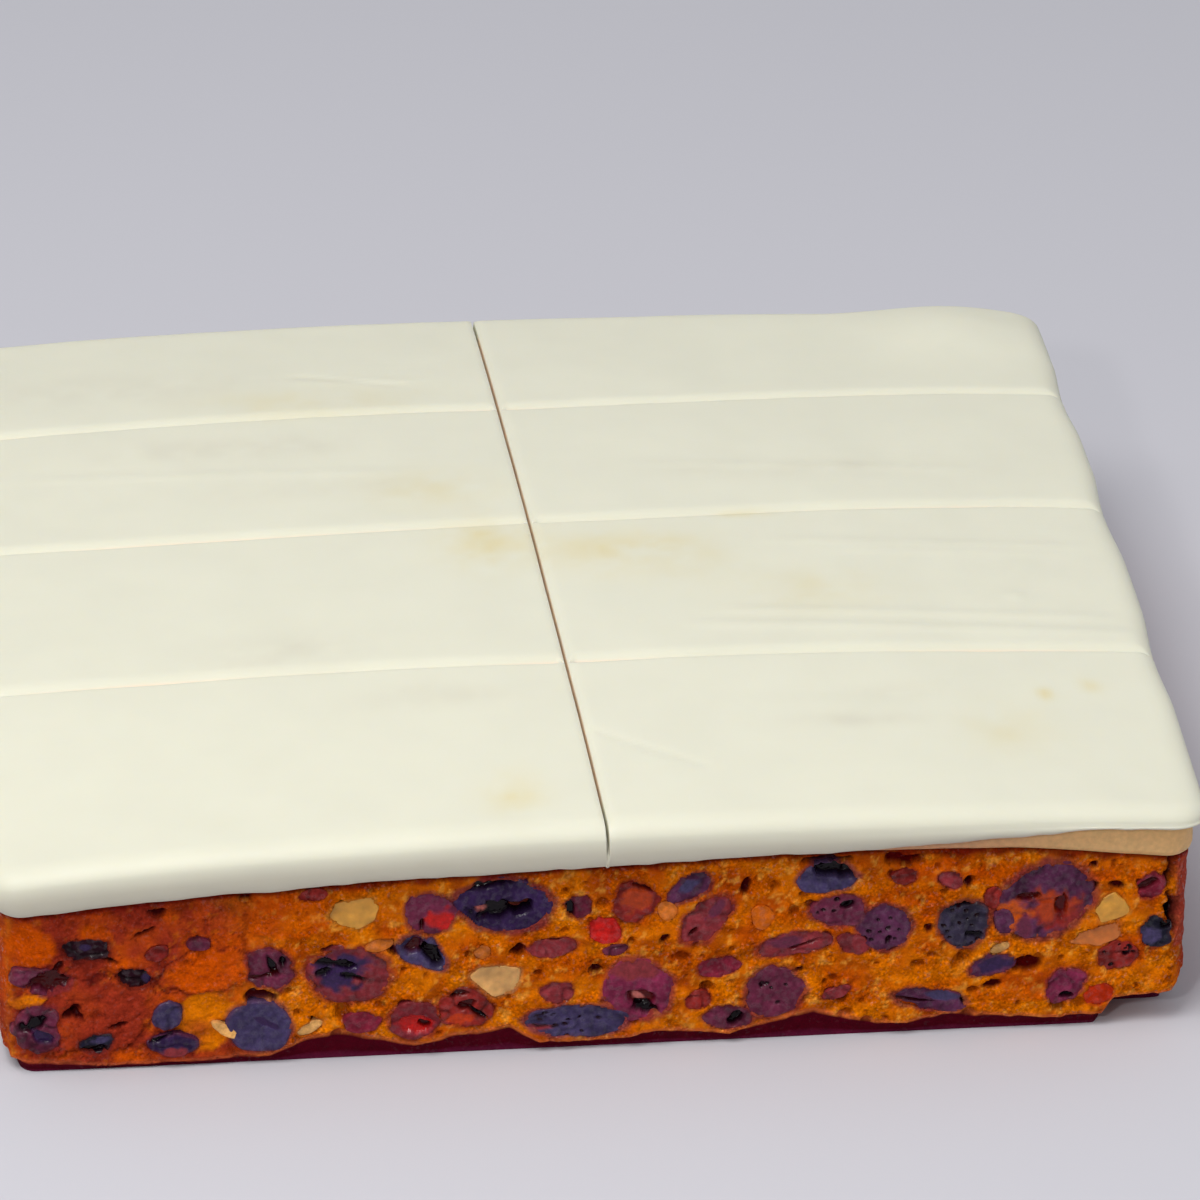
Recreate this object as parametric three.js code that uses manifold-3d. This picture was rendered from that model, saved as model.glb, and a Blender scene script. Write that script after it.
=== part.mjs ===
// A slab of iced fruit cake: rich fruit cake under a thin sheet of marzipan and a thick sheet of
// white icing, which is scored into eight bars, two across and four deep. Millimetres, +Z up.
// The knife-cut face looks along -Y. The origin is on the table under the middle of the slab.
import * as THREE from "three";
import { mergeVertices } from "three/addons/utils/BufferGeometryUtils.js";
import Module from "manifold-3d";

const wasm = await Module();
wasm.setup();

// ---------------------------------------------------------------- driving dimensions

const SLAB_WIDTH = 206.4; // of the icing, halfway back
const SLAB_DEPTH = 210; // of the icing, at the middle
const WIDENING = 0.025; // the slab is this share narrower at its front and wider at its back
const BACK_TURN = 2.75; // how far the back edge runs askew, at each end
const BACK_BOW = 3.75; // how far both ends of the back edge curve forward

const EDGE_HEIGHT = 43.3; // table to icing along the front and back edges
const DOME_RISE = 4; // how much higher the middle stands
const DOME_FLATNESS = 2.4; // a larger power keeps the dome flat for longer towards front and back
const CREST_X = 20; // the front edge is highest here
const LEFT_DROOP = 3.4; // how far the front edge sags, 100 mm to the left of its crest
const LEFT_DROOP_POWER = 2.2;
const RIGHT_DROOP = 3.1; // and 100 mm to the right of it
const FRONT_SAG_REACH = 45; // how far the front corners' sag reaches back
const BACK_SAG_REACH = 30; // how far the back corners' sag reaches forward
const BACK_SAG_SHARE = 0.45; // of the sag in front
const LIFTED_CORNER = { x: 88, y: 90, rise: 2.6, reach: 15 }; // the back-right corner curls up

const ICING_THICKNESS = 5.2;
const MARZIPAN_THICKNESS = 3;
const GAP = 0.3; // between two pieces that touch
const CAKE_INSET_FRONT = 2.5; // the icing overhangs the cake by this much at front and back
const CAKE_INSET_END = 1.2; // and by this much at both ends
const MARZIPAN_INSET_FRONT = 2.1;
const MARZIPAN_INSET_END = 0.8;
const ICING_DRAPE = 2.3; // how far the icing hangs over the marzipan along the front and back
const LEAST_DRAPE = 0.25;
const LAYER_HUMP = 0.85; // at the front, the layers lie this much higher to the right of the middle
const ICING_THINNING = 1.1; // and the icing's underside rises by this much more at the right end
const MARZIPAN_SAG = 1.9; // where the marzipan's underside sags by this much

const CROSS_CUTS = [-49, 4, 54.5]; // where the three cuts across the slab lie, front to back

const UNDERCUT = 1.2; // how far the bottom crust lies behind the walls
const END_UNDERCUT = 1.3; // and how much further at both ends
const CORNER_BREAK = { x: 86, y: -92 }; // from here to the front-right corner, the crust is gone
const LIP_HEIGHT = 3; // how high the bottom edge of a wall stands above the table
const CRUMB_RELIEF = 0.5; // how rough the cake's walls are

const HALF_WIDTH = SLAB_WIDTH / 2;
const HALF_DEPTH = SLAB_DEPTH / 2;

// ---------------------------------------------------------------- seeded unevenness

function seededRandom(seed) {
  let state = seed >>> 0;
  return () => {
    state = (state + 0x6d2b79f5) >>> 0;
    let mixed = Math.imul(state ^ (state >>> 15), state | 1);
    mixed ^= mixed + Math.imul(mixed ^ (mixed >>> 7), mixed | 61);
    return ((mixed ^ (mixed >>> 14)) >>> 0) / 4294967296;
  };
}

// A sum of slanting waves, between about -1 and 1, with bumps of roughly the given size.
function makeRoughness(seed, size) {
  const random = seededRandom(seed);
  const waves = [];
  for (let i = 0; i < 6; i++) {
    const angle = random() * Math.PI;
    const pitch = (2 * Math.PI) / (size * (1 + random()));
    waves.push({ u: Math.cos(angle) * pitch, v: Math.sin(angle) * pitch, phase: random() * 6.28 });
  }
  return (u, v) => {
    let sum = 0;
    for (const wave of waves) sum += Math.sin(wave.u * u + wave.v * v + wave.phase);
    return sum / 2.5;
  };
}

const crumbRoughness = makeRoughness(11, 7);
const edgeRoughness = makeRoughness(23, 18);

function smoothStep(low, high, value) {
  const share = Math.min(1, Math.max(0, (value - low) / (high - low)));
  return share * share * (3 - 2 * share);
}

function bell(distance, width) {
  return Math.exp(-((distance / width) ** 2));
}

// ---------------------------------------------------------------- the slab's form

// The slab was cut by hand: it widens towards the back, and its back edge runs askew.
function handCut(x, y) {
  const back = (y + HALF_DEPTH) / SLAB_DEPTH;
  const side = x / HALF_WIDTH;
  return {
    x: x * (1 + WIDENING * (2 * back - 1)),
    y: y - back * (BACK_TURN * side + BACK_BOW * side ** 2),
  };
}

// The slab's height over most of its top: a low dome whose front corners sag.
function slabHeight(x, y) {
  const side = x / HALF_WIDTH;
  const alongDepth = 1 - Math.abs(y / HALF_DEPTH) ** DOME_FLATNESS;
  const alongWidth = 1 - 0.6 * side ** 2;
  const rightDroop = RIGHT_DROOP * (Math.max(0, x - CREST_X) / 100) ** 2;
  const leftDroop = LEFT_DROOP * (Math.max(0, CREST_X - x) / 100) ** LEFT_DROOP_POWER;
  const nearFront = bell(y + HALF_DEPTH, FRONT_SAG_REACH);
  const nearBack = BACK_SAG_SHARE * bell(HALF_DEPTH - y, BACK_SAG_REACH);
  const droop = (leftDroop + rightDroop) * (nearFront + nearBack);
  return EDGE_HEIGHT + DOME_RISE * alongDepth * alongWidth - droop;
}

function icingTop(x, y) {
  const { x: cornerX, y: cornerY, rise, reach } = LIFTED_CORNER;
  return slabHeight(x, y) + rise * bell(Math.hypot(x - cornerX, y - cornerY), reach);
}

// The front edge's layers are uneven: the icing thins out to the right, over thicker marzipan.
const frontShare = (y) => 1 - smoothStep(10, 70, y + HALF_DEPTH);
const layerHump = (x, y) => LAYER_HUMP * smoothStep(0, 32, x) * frontShare(y);
const thinning = (x, y) => ICING_THINNING * smoothStep(45, 88, x) * frontShare(y);
const marzipanSag = (x, y) => MARZIPAN_SAG * smoothStep(66, 99, x) * frontShare(y);

function icingUnderside(x, y) {
  return slabHeight(x, y) - ICING_THICKNESS + layerHump(x, y) + thinning(x, y);
}

function marzipanUnderside(x, y) {
  const even = slabHeight(x, y) - ICING_THICKNESS - GAP - MARZIPAN_THICKNESS;
  return even + layerHump(x, y) - marzipanSag(x, y);
}

const marzipanTop = (x, y) => icingUnderside(x, y) - GAP;
const cakeTop = (x, y) => marzipanUnderside(x, y) - GAP;

// ---------------------------------------------------------------- solids from rings of points

const CORNER_RADIUS = 6; // of the icing, seen from above

// Moves a place near a corner of the icing's rectangle inwards, so that the corner comes out round.
// It also gives the direction outwards and the distance from the edge.
function roundCorner(x, y) {
  const overX = (Math.abs(x) - HALF_WIDTH) / CORNER_RADIUS + 1;
  const overY = (Math.abs(y) - HALF_DEPTH) / CORNER_RADIUS + 1;
  if (overX <= 0 || overY <= 0) {
    const atEnd = overX > overY;
    return {
      x,
      y,
      nx: atEnd ? Math.sign(x) : 0,
      ny: atEnd ? 0 : Math.sign(y),
      fromEdge: Math.min(HALF_WIDTH - Math.abs(x), HALF_DEPTH - Math.abs(y)),
    };
  }
  const roundX = overX * Math.sqrt(1 - overY ** 2 / 2);
  const roundY = overY * Math.sqrt(1 - overX ** 2 / 2);
  const length = Math.hypot(roundX, roundY);
  return {
    x: Math.sign(x) * (HALF_WIDTH - CORNER_RADIUS + CORNER_RADIUS * roundX),
    y: Math.sign(y) * (HALF_DEPTH - CORNER_RADIUS + CORNER_RADIUS * roundY),
    nx: (Math.sign(x) * roundX) / length,
    ny: (Math.sign(y) * roundY) / length,
    fromEdge: CORNER_RADIUS * (1 - length),
  };
}

// What place(x, y) gives where the lines across and along the slab meet its outline, anticlockwise
// from the front-left corner.
function aroundEdge(linesX, linesY, place) {
  return [
    ...linesX.map((x) => place(x, -HALF_DEPTH)),
    ...linesY.slice(1).map((y) => place(HALF_WIDTH, y)),
    ...linesX.slice(0, -1).reverse().map((x) => place(x, HALF_DEPTH)),
    ...linesY.slice(1, -1).reverse().map((y) => place(-HALF_WIDTH, y)),
  ];
}

function evenLines(from, to, steps) {
  return Array.from({ length: steps + 1 }, (_, i) => from + ((to - from) * i) / steps);
}

// Lines from one edge to the other, with extra ones round the corners.
function edgeToEdge(half, steps) {
  const inside = half - CORNER_RADIUS;
  const nearCorner = half - 0.25 * CORNER_RADIUS;
  return [-half, -nearCorner, ...evenLines(-inside, inside, steps), nearCorner, half];
}

// The places round the slab that the marzipan and the cake share, so that they lie parallel.
function layerOutline() {
  return aroundEdge(edgeToEdge(HALF_WIDTH, 28), edgeToEdge(HALF_DEPTH, 14), roundCorner);
}

const LAYER_SIZES = {
  icing: [HALF_WIDTH, HALF_DEPTH],
  skirt: [HALF_WIDTH - MARZIPAN_INSET_END + GAP, HALF_DEPTH - MARZIPAN_INSET_FRONT + GAP],
  marzipan: [HALF_WIDTH - MARZIPAN_INSET_END, HALF_DEPTH - MARZIPAN_INSET_FRONT],
  cake: [HALF_WIDTH - CAKE_INSET_END, HALF_DEPTH - CAKE_INSET_FRONT],
};
const [CAKE_HALF_WIDTH, CAKE_HALF_DEPTH] = LAYER_SIZES.cake;

// One ring round a layer, drawn in by inset(point) and at the height that height(x, y) gives.
// share shrinks the whole ring towards the middle.
function ring(outline, layer, height, inset = () => 0, share = 1) {
  const [halfWidth, halfDepth] = LAYER_SIZES[layer];
  return outline.map((point) => {
    const drawnIn = inset(point);
    const place = handCut(
      (point.x / HALF_WIDTH) * halfWidth * share - point.nx * drawnIn,
      (point.y / HALF_DEPTH) * halfDepth * share - point.ny * drawnIn,
    );
    return new THREE.Vector3(place.x, place.y, height(place.x, place.y, point));
  });
}

// Rings across a layer's upper or lower side, at the same shares of the way out for every layer.
function innerRings(outline, height) {
  return [0.73, 0.94].map((share) => ring(outline, "cake", height, () => 0, share));
}

// Triangles that join rings of equally many vertices, which follow each other from first onwards.
function ringTriangles(first, count, rings) {
  const triangles = [];
  for (let level = 0; level < rings - 1; level++) {
    for (let i = 0; i < count; i++) {
      const next = (i + 1) % count;
      const low = first + level * count;
      const high = low + count;
      triangles.push(low + i, low + next, high + next, low + i, high + next, high + i);
    }
  }
  return triangles;
}

function indexedGeometry(vertices, triangles) {
  const geometry = new THREE.BufferGeometry().setFromPoints(vertices);
  geometry.setIndex(triangles);
  return geometry;
}

// The closed skin through rings from the bottom up, with a fan to a point at each end.
function skin(lowest, rings, highest) {
  const count = rings[0].length;
  const vertices = [lowest, ...rings.flat(), highest];
  const last = vertices.length - 1;
  const triangles = ringTriangles(1, count, rings.length);
  for (let i = 0; i < count; i++) {
    const next = (i + 1) % count;
    triangles.push(0, 1 + next, 1 + i);
    triangles.push(last, last - count + i, last - count + next);
  }
  return indexedGeometry(vertices, triangles);
}

// ---------------------------------------------------------------- booleans

function toSolid(geometry) {
  const bare = geometry.clone();
  bare.deleteAttribute("normal");
  bare.deleteAttribute("uv");
  const merged = mergeVertices(bare, 1e-5);
  const mesh = new wasm.Mesh({
    numProp: 3,
    vertProperties: new Float32Array(merged.attributes.position.array),
    triVerts: new Uint32Array(merged.index.array),
  });
  return new wasm.Manifold(mesh);
}

function toGeometry(solid) {
  const mesh = solid.getMesh();
  const geometry = new THREE.BufferGeometry();
  geometry.setAttribute("position", new THREE.BufferAttribute(mesh.vertProperties, 3));
  geometry.setIndex(new THREE.BufferAttribute(mesh.triVerts, 1));
  return geometry;
}

function largestPiece(solid) {
  return solid.decompose().reduce((best, piece) => (piece.volume() > best.volume() ? piece : best));
}

// ---------------------------------------------------------------- icing

// Across a knife mark, the depth at each offset. The far side of a cross cut is rounded off more.
const CROSS_CUT_PROFILE = [
  { offset: -1.8, depth: 0 },
  { offset: -0.45, depth: 0.9 },
  { offset: -0.25, depth: 3 },
  { offset: 0.25, depth: 3 },
  { offset: 0.6, depth: 1 },
  { offset: 3, depth: 0 },
];
const LONG_CUT_PROFILE = [
  { offset: -1.6, depth: 0 },
  { offset: -0.45, depth: 0.8 },
  { offset: -0.3, depth: 4 },
  { offset: 0.3, depth: 4 },
  { offset: 0.45, depth: 0.8 },
  { offset: 1.6, depth: 0 },
];
const MARK_LEAN = 8; // the middle and back cross cuts run this much further back at their right end
const EDGE_FALL = 3; // the icing's upper edge is rounded off by this much
const EDGE_ROUNDING = 5; // over this width
const EDGE_INSETS = [0, 0.9, 3, CORNER_RADIUS]; // lines along the rounded edge

const longCutX = (y) => -0.9 - 1.1 * (y / HALF_DEPTH) + 0.5 * (y / HALF_DEPTH) ** 2;

function depthAt(profile, offset) {
  const next = profile.findIndex((point) => point.offset >= offset);
  if (next < 1) return 0;
  const before = profile[next - 1];
  const after = profile[next];
  const share = (offset - before.offset) / (after.offset - before.offset);
  return before.depth + (after.depth - before.depth) * share;
}

// How much lower than the dome the icing's upper side is, at its edge and in the knife marks.
// Cross cuts stop just short of the long cut, and the long cut is deeper at the edges.
function fallAt(lineX, lineY, fromEdge) {
  const nearness = Math.min(1, Math.max(0, 1 - fromEdge / EDGE_ROUNDING));
  const edgeFall = EDGE_FALL - 0.5 * thinning(lineX, lineY);
  const edge = edgeFall * (1 - Math.sqrt(1 - nearness ** 2.6));
  const crossing = smoothStep(1.2, 4, Math.abs(lineX));
  let mark = 0;
  for (const cut of CROSS_CUTS) {
    mark = Math.max(mark, crossing * depthAt(CROSS_CUT_PROFILE, lineY - cut));
  }
  const nearEdge = 1 - smoothStep(0, 4, fromEdge);
  mark = Math.max(mark, (1 + 0.25 * nearEdge) * depthAt(LONG_CUT_PROFILE, lineX));
  return Math.max(edge, mark) + 0.35 * Math.min(edge, mark);
}

// Between two cross cuts the icing's ends bulge outwards a little.
function endBulge(y) {
  const nearest = Math.min(...CROSS_CUTS.map((cut) => Math.abs(y - cut)));
  return 0.8 * smoothStep(2, 18, nearest);
}

// The place on the icing where two lines cross, with the lines bent along the knife marks.
function icingPlace(lineX, lineY) {
  const rounded = roundCorner(lineX, lineY);
  const nearLongCut = 1 - smoothStep(3, 25, Math.abs(lineX));
  const nearEnd = smoothStep(HALF_WIDTH - 14, HALF_WIDTH, Math.abs(lineX));
  const nearEdge = smoothStep(HALF_DEPTH - 20, HALF_DEPTH, Math.abs(lineY));
  const x = rounded.x + nearLongCut * longCutX(lineY) + nearEnd * Math.sign(lineX) * endBulge(lineY);
  const lean = MARK_LEAN * smoothStep(0, HALF_WIDTH, lineX) * smoothStep(-50, 30, lineY);
  const wander = 0.6 * Math.sin(lineX / 31 + lineY / 40);
  const y = rounded.y + (1 - nearEdge) * (lean + wander);
  const place = handCut(x, y);
  const height = icingTop(place.x, place.y) - fallAt(lineX, lineY, rounded.fromEdge);
  return new THREE.Vector3(place.x, place.y, height);
}

function icingLines(half, marks, steps) {
  const lines = EDGE_INSETS.map((inset) => -half + inset);
  let from = -half + CORNER_RADIUS;
  for (const { at, profile } of marks) {
    const shoulders = profile.map((point) => at + point.offset);
    lines.push(...evenLines(from, shoulders[0], steps).slice(1, -1), ...shoulders);
    from = shoulders[shoulders.length - 1];
  }
  lines.push(...evenLines(from, half - CORNER_RADIUS, steps).slice(1, -1));
  lines.push(...EDGE_INSETS.map((inset) => half - inset).reverse());
  return lines;
}

// How far the icing hangs over the marzipan's edge. It hangs down along the back and most of the
// front. At the front's right it draws back and shows the marzipan, as it does at both ends.
function drape(point) {
  const drawnBack = point.ny < 0 ? smoothStep(30, 92, point.x) : 0;
  return LEAST_DRAPE + (ICING_DRAPE - LEAST_DRAPE) * point.ny ** 2 * (1 - drawnBack);
}

// The upper side is a grid of lines, and rings run from its edge down and in to the underside.
function makeIcing() {
  const linesX = icingLines(HALF_WIDTH, [{ at: 0, profile: LONG_CUT_PROFILE }], 6);
  const crossCuts = CROSS_CUTS.map((at) => ({ at, profile: CROSS_CUT_PROFILE }));
  const linesY = icingLines(HALF_DEPTH, crossCuts, 3);
  const vertices = linesY.flatMap((y) => linesX.map((x) => icingPlace(x, y)));
  const triangles = [];
  const across = linesX.length;
  for (let row = 0; row < linesY.length - 1; row++) {
    for (let column = 0; column < across - 1; column++) {
      const near = row * across + column;
      const far = near + across;
      triangles.push(near, near + 1, far + 1, near, far + 1, far);
    }
  }
  const edge = aroundEdge(linesX, linesY, roundCorner);
  const bulge = (point) => -(point.nx ** 8) * endBulge(point.y);
  const lowEdge = (x, y, point) => icingUnderside(x, y) - drape(point);
  const rings = [
    ...innerRings(edge, icingUnderside),
    ring(edge, "skirt", icingUnderside),
    ring(edge, "skirt", lowEdge),
    ring(edge, "icing", lowEdge, (point) => 0.25 + bulge(point)),
    ring(edge, "icing", (x, y, point) => lowEdge(x, y, point) + 0.4, bulge),
    aroundEdge(linesX, linesY, icingPlace),
  ];
  const first = vertices.length;
  vertices.push(...rings.flat());
  triangles.push(...ringTriangles(first, edge.length, rings.length));
  const middle = vertices.length;
  vertices.push(new THREE.Vector3(0, 0, icingUnderside(0, 0)));
  for (let i = 0; i < edge.length; i++) {
    triangles.push(middle, first + ((i + 1) % edge.length), first + i);
  }
  return mergeVertices(indexedGeometry(vertices, triangles), 1e-4);
}

// ---------------------------------------------------------------- marzipan

function makeMarzipan() {
  const outline = layerOutline();
  const rings = [
    ...innerRings(outline, marzipanUnderside),
    ring(outline, "marzipan", marzipanUnderside, () => 0.3),
    ring(outline, "marzipan", marzipanTop),
    ...innerRings(outline, marzipanTop).reverse(),
  ];
  const lowest = new THREE.Vector3(0, 0, marzipanUnderside(0, 0));
  const highest = new THREE.Vector3(0, 0, marzipanTop(0, 0));
  return skin(lowest, rings, highest);
}

// ---------------------------------------------------------------- cake

// The bottom edge of the cut face, as distances along X and heights above the table. It is uneven,
// and its right end is broken away.
const FRONT_LIP = [
  [-100, 2.4], [-88, 1.8], [-82, 0.9], [-66, 1], [-55, 1.7], [-49, 4.6], [-43, 5.4], [-37, 4],
  [-31, 2.2], [-24, 3.9], [-15, 5.1], [-10, 1.8], [4, 1.9], [9, 3.2], [22, 1.8], [36, 5.5],
  [47, 2.6], [52, 2.1], [58, 4], [75, 2.2], [85, 2.4], [87, 5.3], [97, 5.9], [100, 8.3],
];

function valueAt(points, x) {
  const next = points.findIndex((point) => point[0] >= x);
  if (next < 0) return points[points.length - 1][1];
  if (next === 0) return points[0][1];
  const [fromX, from] = points[next - 1];
  const [toX, to] = points[next];
  return from + ((to - from) * (x - fromX)) / (toX - fromX);
}

// How high the bottom edge of a wall stands. The other walls' is uneven too, and the right one's
// rises to the broken corner.
function lipHeight(x, y, point) {
  if (point.ny < -0.5) return valueAt(FRONT_LIP, x);
  const rise = point.nx > 0 ? 5 * (1 - smoothStep(-100, CORNER_BREAK.y + 6, y)) : 0;
  return LIP_HEIGHT + 0.8 * edgeRoughness(x, y) + rise;
}

// Under the front-right corner the crust is broken away, so its places there lie further back.
function breakCorner(point) {
  if (point.y > CORNER_BREAK.y) return point;
  const share = 0.85 * smoothStep(CORNER_BREAK.x - 2.5, CORNER_BREAK.x + 2, point.x);
  return new THREE.Vector3(point.x, point.y + (CORNER_BREAK.y - point.y) * share, point.z);
}

function cakeBody() {
  const outline = layerOutline();
  const underLip = (x, y, point) => 0.6 * lipHeight(x, y, point);
  const undercut = (point) => UNDERCUT + END_UNDERCUT * point.nx ** 2;
  const rings = [
    ring(outline, "cake", () => 0, (point) => undercut(point) + 0.4).map(breakCorner),
    ring(outline, "cake", underLip, undercut).map(breakCorner),
    ring(outline, "cake", lipHeight, () => 0.2),
  ];
  const wallSteps = 4;
  for (let step = 1; step <= wallSteps; step++) {
    const share = step / (wallSteps + 1);
    const height = (x, y, point) => {
      const low = lipHeight(x, y, point);
      return low + (cakeTop(x, y) - low) * share;
    };
    const relief = (point) => CRUMB_RELIEF * crumbRoughness(point.x + point.y, 40 * share);
    rings.push(ring(outline, "cake", height, relief));
  }
  rings.push(ring(outline, "cake", cakeTop, () => 0.7));
  rings.push(...innerRings(outline, cakeTop).reverse());
  return skin(new THREE.Vector3(0, 0, 0), rings, new THREE.Vector3(0, 0, cakeTop(0, 0)));
}

// ---------------------------------------------------------------- fruit and nuts

const COLOURS = {
  icing: 0xf3f2e2,
  marzipan: 0xd9bc86,
  cake: 0xb26a1e,
  raisin: 0x3d2c40,
  cherry: 0xa31d2b,
  almond: 0xdcb86e,
  peel: 0xc65a22,
};
const ROUGHNESS = { raisin: 0.3, cherry: 0.25, almond: 0.6, peel: 0.4 };
const HOLLOW_REACH = 4; // hollows for fruit are cut from this far in front of a wall

// The pieces that show in the cut face: kind, middle along X, height of the middle, width, height
// and tilt in degrees, anticlockwise as seen from the front. Left to right.
const FRONT_PIECES = [
  ["raisin", -93.4, 8.5, 8.4, 9, 0],
  ["raisin", -92.2, 17.7, 9.8, 4.7, -8],
  ["raisin", -85, 22.9, 8.4, 4.6, -8],
  ["raisin", -83.7, 5.2, 7.2, 3.6, 8],
  ["raisin", -77.2, 17.2, 7, 4, -15],
  ["raisin", -71, 4.6, 9.2, 3.8, -4],
  ["raisin", -56.7, 7.3, 11.4, 9, -6],
  ["raisin", -55, 18.2, 8.4, 8.2, 20],
  ["almond", -40.9, 28, 8.4, 5.6, 8],
  ["raisin", -41.7, 16.3, 15, 10.2, -10],
  ["cherry", -40.1, 7.2, 6.1, 4.5, 0],
  ["cherry", -30.9, 7.3, 9.2, 7.2, -12],
  ["raisin", -29.6, 19.9, 8.6, 6, -35],
  ["cherry", -28.3, 27.3, 8.4, 8.4, 0],
  ["raisin", -22.4, 9.1, 9.8, 8, -10],
  ["almond", -17.3, 14.2, 8.4, 5.6, -8],
  ["raisin", -16.3, 28.2, 16, 10.4, -2],
  ["raisin", -8, 19.8, 8.4, 4.1, 4],
  ["raisin", -3.8, 5.6, 16.8, 6.6, -2],
  ["raisin", -3.6, 27.5, 4.6, 6, 5],
  ["cherry", 0.6, 22.5, 6.2, 5, -10],
  ["raisin", 5.7, 27.9, 8.4, 7.2, 0],
  ["raisin", 6.5, 11, 13, 11.2, -18],
  ["raisin", 14.3, 29.7, 7.8, 4.6, 35],
  ["raisin", 17.6, 23.9, 12, 6, 50],
  ["cherry", 20, 14.7, 6.8, 4, 0],
  ["raisin", 21.5, 5.1, 8.2, 5.2, 0],
  ["raisin", 29, 9.5, 10, 11, 8],
  ["raisin", 32, 18.4, 14, 4.2, 6],
  ["raisin", 37.8, 30.5, 10, 6, -3],
  ["raisin", 40.2, 24.3, 9, 6.6, 0],
  ["raisin", 47.6, 20.9, 9.2, 9.6, 0],
  ["raisin", 55.7, 6.6, 13.4, 4.4, -12],
  ["raisin", 60.8, 20.8, 9.6, 8.4, 0],
  ["raisin", 65.5, 12.6, 8.4, 4.1, 10],
  ["raisin", 74.6, 24.7, 16, 14, 12],
  ["raisin", 78.4, 8.3, 7.2, 5.8, 25],
  ["almond", 85.9, 22.5, 5.4, 5.2, 20],
  ["almond", 83.6, 17.5, 9, 3.4, 14],
  ["peel", 84.3, 6.2, 5.8, 4.2, 10],
  ["raisin", 87.2, 13.3, 7.8, 5.2, 15],
  ["raisin", 93.2, 17.7, 5.4, 6.2, 0],
  ["raisin", 92.2, 26.5, 5.2, 4.4, 10],
];

// Kinds of fruit for the three other walls, whose pieces are placed by a seeded draw.
const KIND_ROTA = ["raisin", "raisin", "cherry", "raisin", "almond", "raisin"];
const OTHER_WALLS = { back: 8, left: 3, right: 3 };

// A place on a wall of the cake, with the directions to the right, up and out as seen from outside.
function wallPlace(wall, along, z) {
  const onWall = {
    front: (s) => handCut(s / (1 - WIDENING), -CAKE_HALF_DEPTH),
    back: (s) => handCut(-s / (1 + WIDENING), CAKE_HALF_DEPTH),
    right: (s) => handCut(CAKE_HALF_WIDTH, s),
    left: (s) => handCut(-CAKE_HALF_WIDTH, -s),
  }[wall];
  const here = onWall(along);
  const before = onWall(along - 3);
  const after = onWall(along + 3);
  const right = new THREE.Vector3(after.x - before.x, after.y - before.y, 0).normalize();
  const up = new THREE.Vector3(0, 0, 1);
  const out = new THREE.Vector3().crossVectors(right, up);
  return { point: new THREE.Vector3(here.x, here.y, z), right, up, out };
}

// The outline of a piece swells and shrinks round its edge. A nut is cornered, and fruit is rounder.
function makeSwell(kind, random) {
  const lobes = kind === "almond" ? 3 : 2;
  const strength = kind === "almond" ? 0.16 : 0.06;
  const phases = [random() * 6.28, random() * 6.28];
  return (angle) =>
    1 + strength * Math.sin(lobes * angle + phases[0]) + 0.04 * Math.sin(5 * angle + phases[1]);
}

// Sides round a piece, so that larger ones look rounder.
function sidesFor(width) {
  if (width > 11) return 11;
  return width > 7 ? 8 : 7;
}

// Half a fruit, sliced by the knife: its flat side faces out and stands a little proud.
// For the hollow that it sits in, grow makes it larger all round and reach pulls it forward.
function slicedPiece(piece, grow, reach) {
  const depth = 1.2 + 0.42 * Math.min(piece.width, piece.height);
  const segments = sidesFor(piece.width);
  const flatSide = [[0, 0.6], [0.84, 0.45]];
  const opening = [[0, reach], [1, reach]];
  const behind = [[1, -0.2 * depth], [0.66, -0.78 * depth - grow], [0, -depth - grow]];
  const profile = [...(reach > 0 ? opening : flatSide), ...behind];
  const points = profile.map(([radius, y]) => new THREE.Vector2(radius, y)).reverse();
  const geometry = new THREE.LatheGeometry(points, segments);
  geometry.rotateX(Math.PI / 2);
  const position = geometry.attributes.position;
  for (let i = 0; i < position.count; i++) {
    const swell = piece.swell(Math.atan2(position.getY(i), position.getX(i)));
    position.setX(i, position.getX(i) * (piece.width / 2 + grow) * swell);
    position.setY(i, position.getY(i) * (piece.height / 2 + grow) * swell);
  }
  geometry.rotateZ(THREE.MathUtils.degToRad(piece.tilt));
  const { point, right, up, out } = piece.place;
  geometry.applyMatrix4(new THREE.Matrix4().makeBasis(right, up, out).setPosition(point));
  return geometry;
}

function placedPieces() {
  const random = seededRandom(5);
  const counts = {};
  const pieces = [];
  const add = (kind, wall, along, z, width, height, tilt) => {
    counts[kind] = (counts[kind] || 0) + 1;
    const name = `${kind}_${String(counts[kind]).padStart(2, "0")}`;
    const place = wallPlace(wall, along, z);
    pieces.push({ kind, name, place, width, height, tilt, swell: makeSwell(kind, random) });
  };
  for (const [kind, x, z, width, height, tilt] of FRONT_PIECES) {
    add(kind, "front", x, z, width, height, tilt);
  }
  for (const [wall, howMany] of Object.entries(OTHER_WALLS)) {
    const length = 2 * (wall === "back" ? CAKE_HALF_WIDTH : CAKE_HALF_DEPTH) - 24;
    for (let i = 0; i < howMany; i++) {
      const along = length * ((i + 0.3 + 0.4 * random()) / howMany - 0.5);
      const width = 8 + 6 * random();
      const height = width * (0.55 + 0.25 * random());
      const z = 9.3 + 14 * random();
      add(KIND_ROTA[i % KIND_ROTA.length], wall, along, z, width, height, 50 * random() - 25);
    }
  }
  return pieces;
}

// ---------------------------------------------------------------- the whole slab

const group = new THREE.Group();

function addMesh(name, geometry, colour, roughness) {
  const material = new THREE.MeshStandardMaterial({ color: colour, roughness, metalness: 0 });
  const mesh = new THREE.Mesh(geometry, material);
  mesh.name = name;
  group.add(mesh);
}

addMesh("icing", makeIcing(), COLOURS.icing, 0.55);
addMesh("marzipan", makeMarzipan(), COLOURS.marzipan, 0.7);

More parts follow.
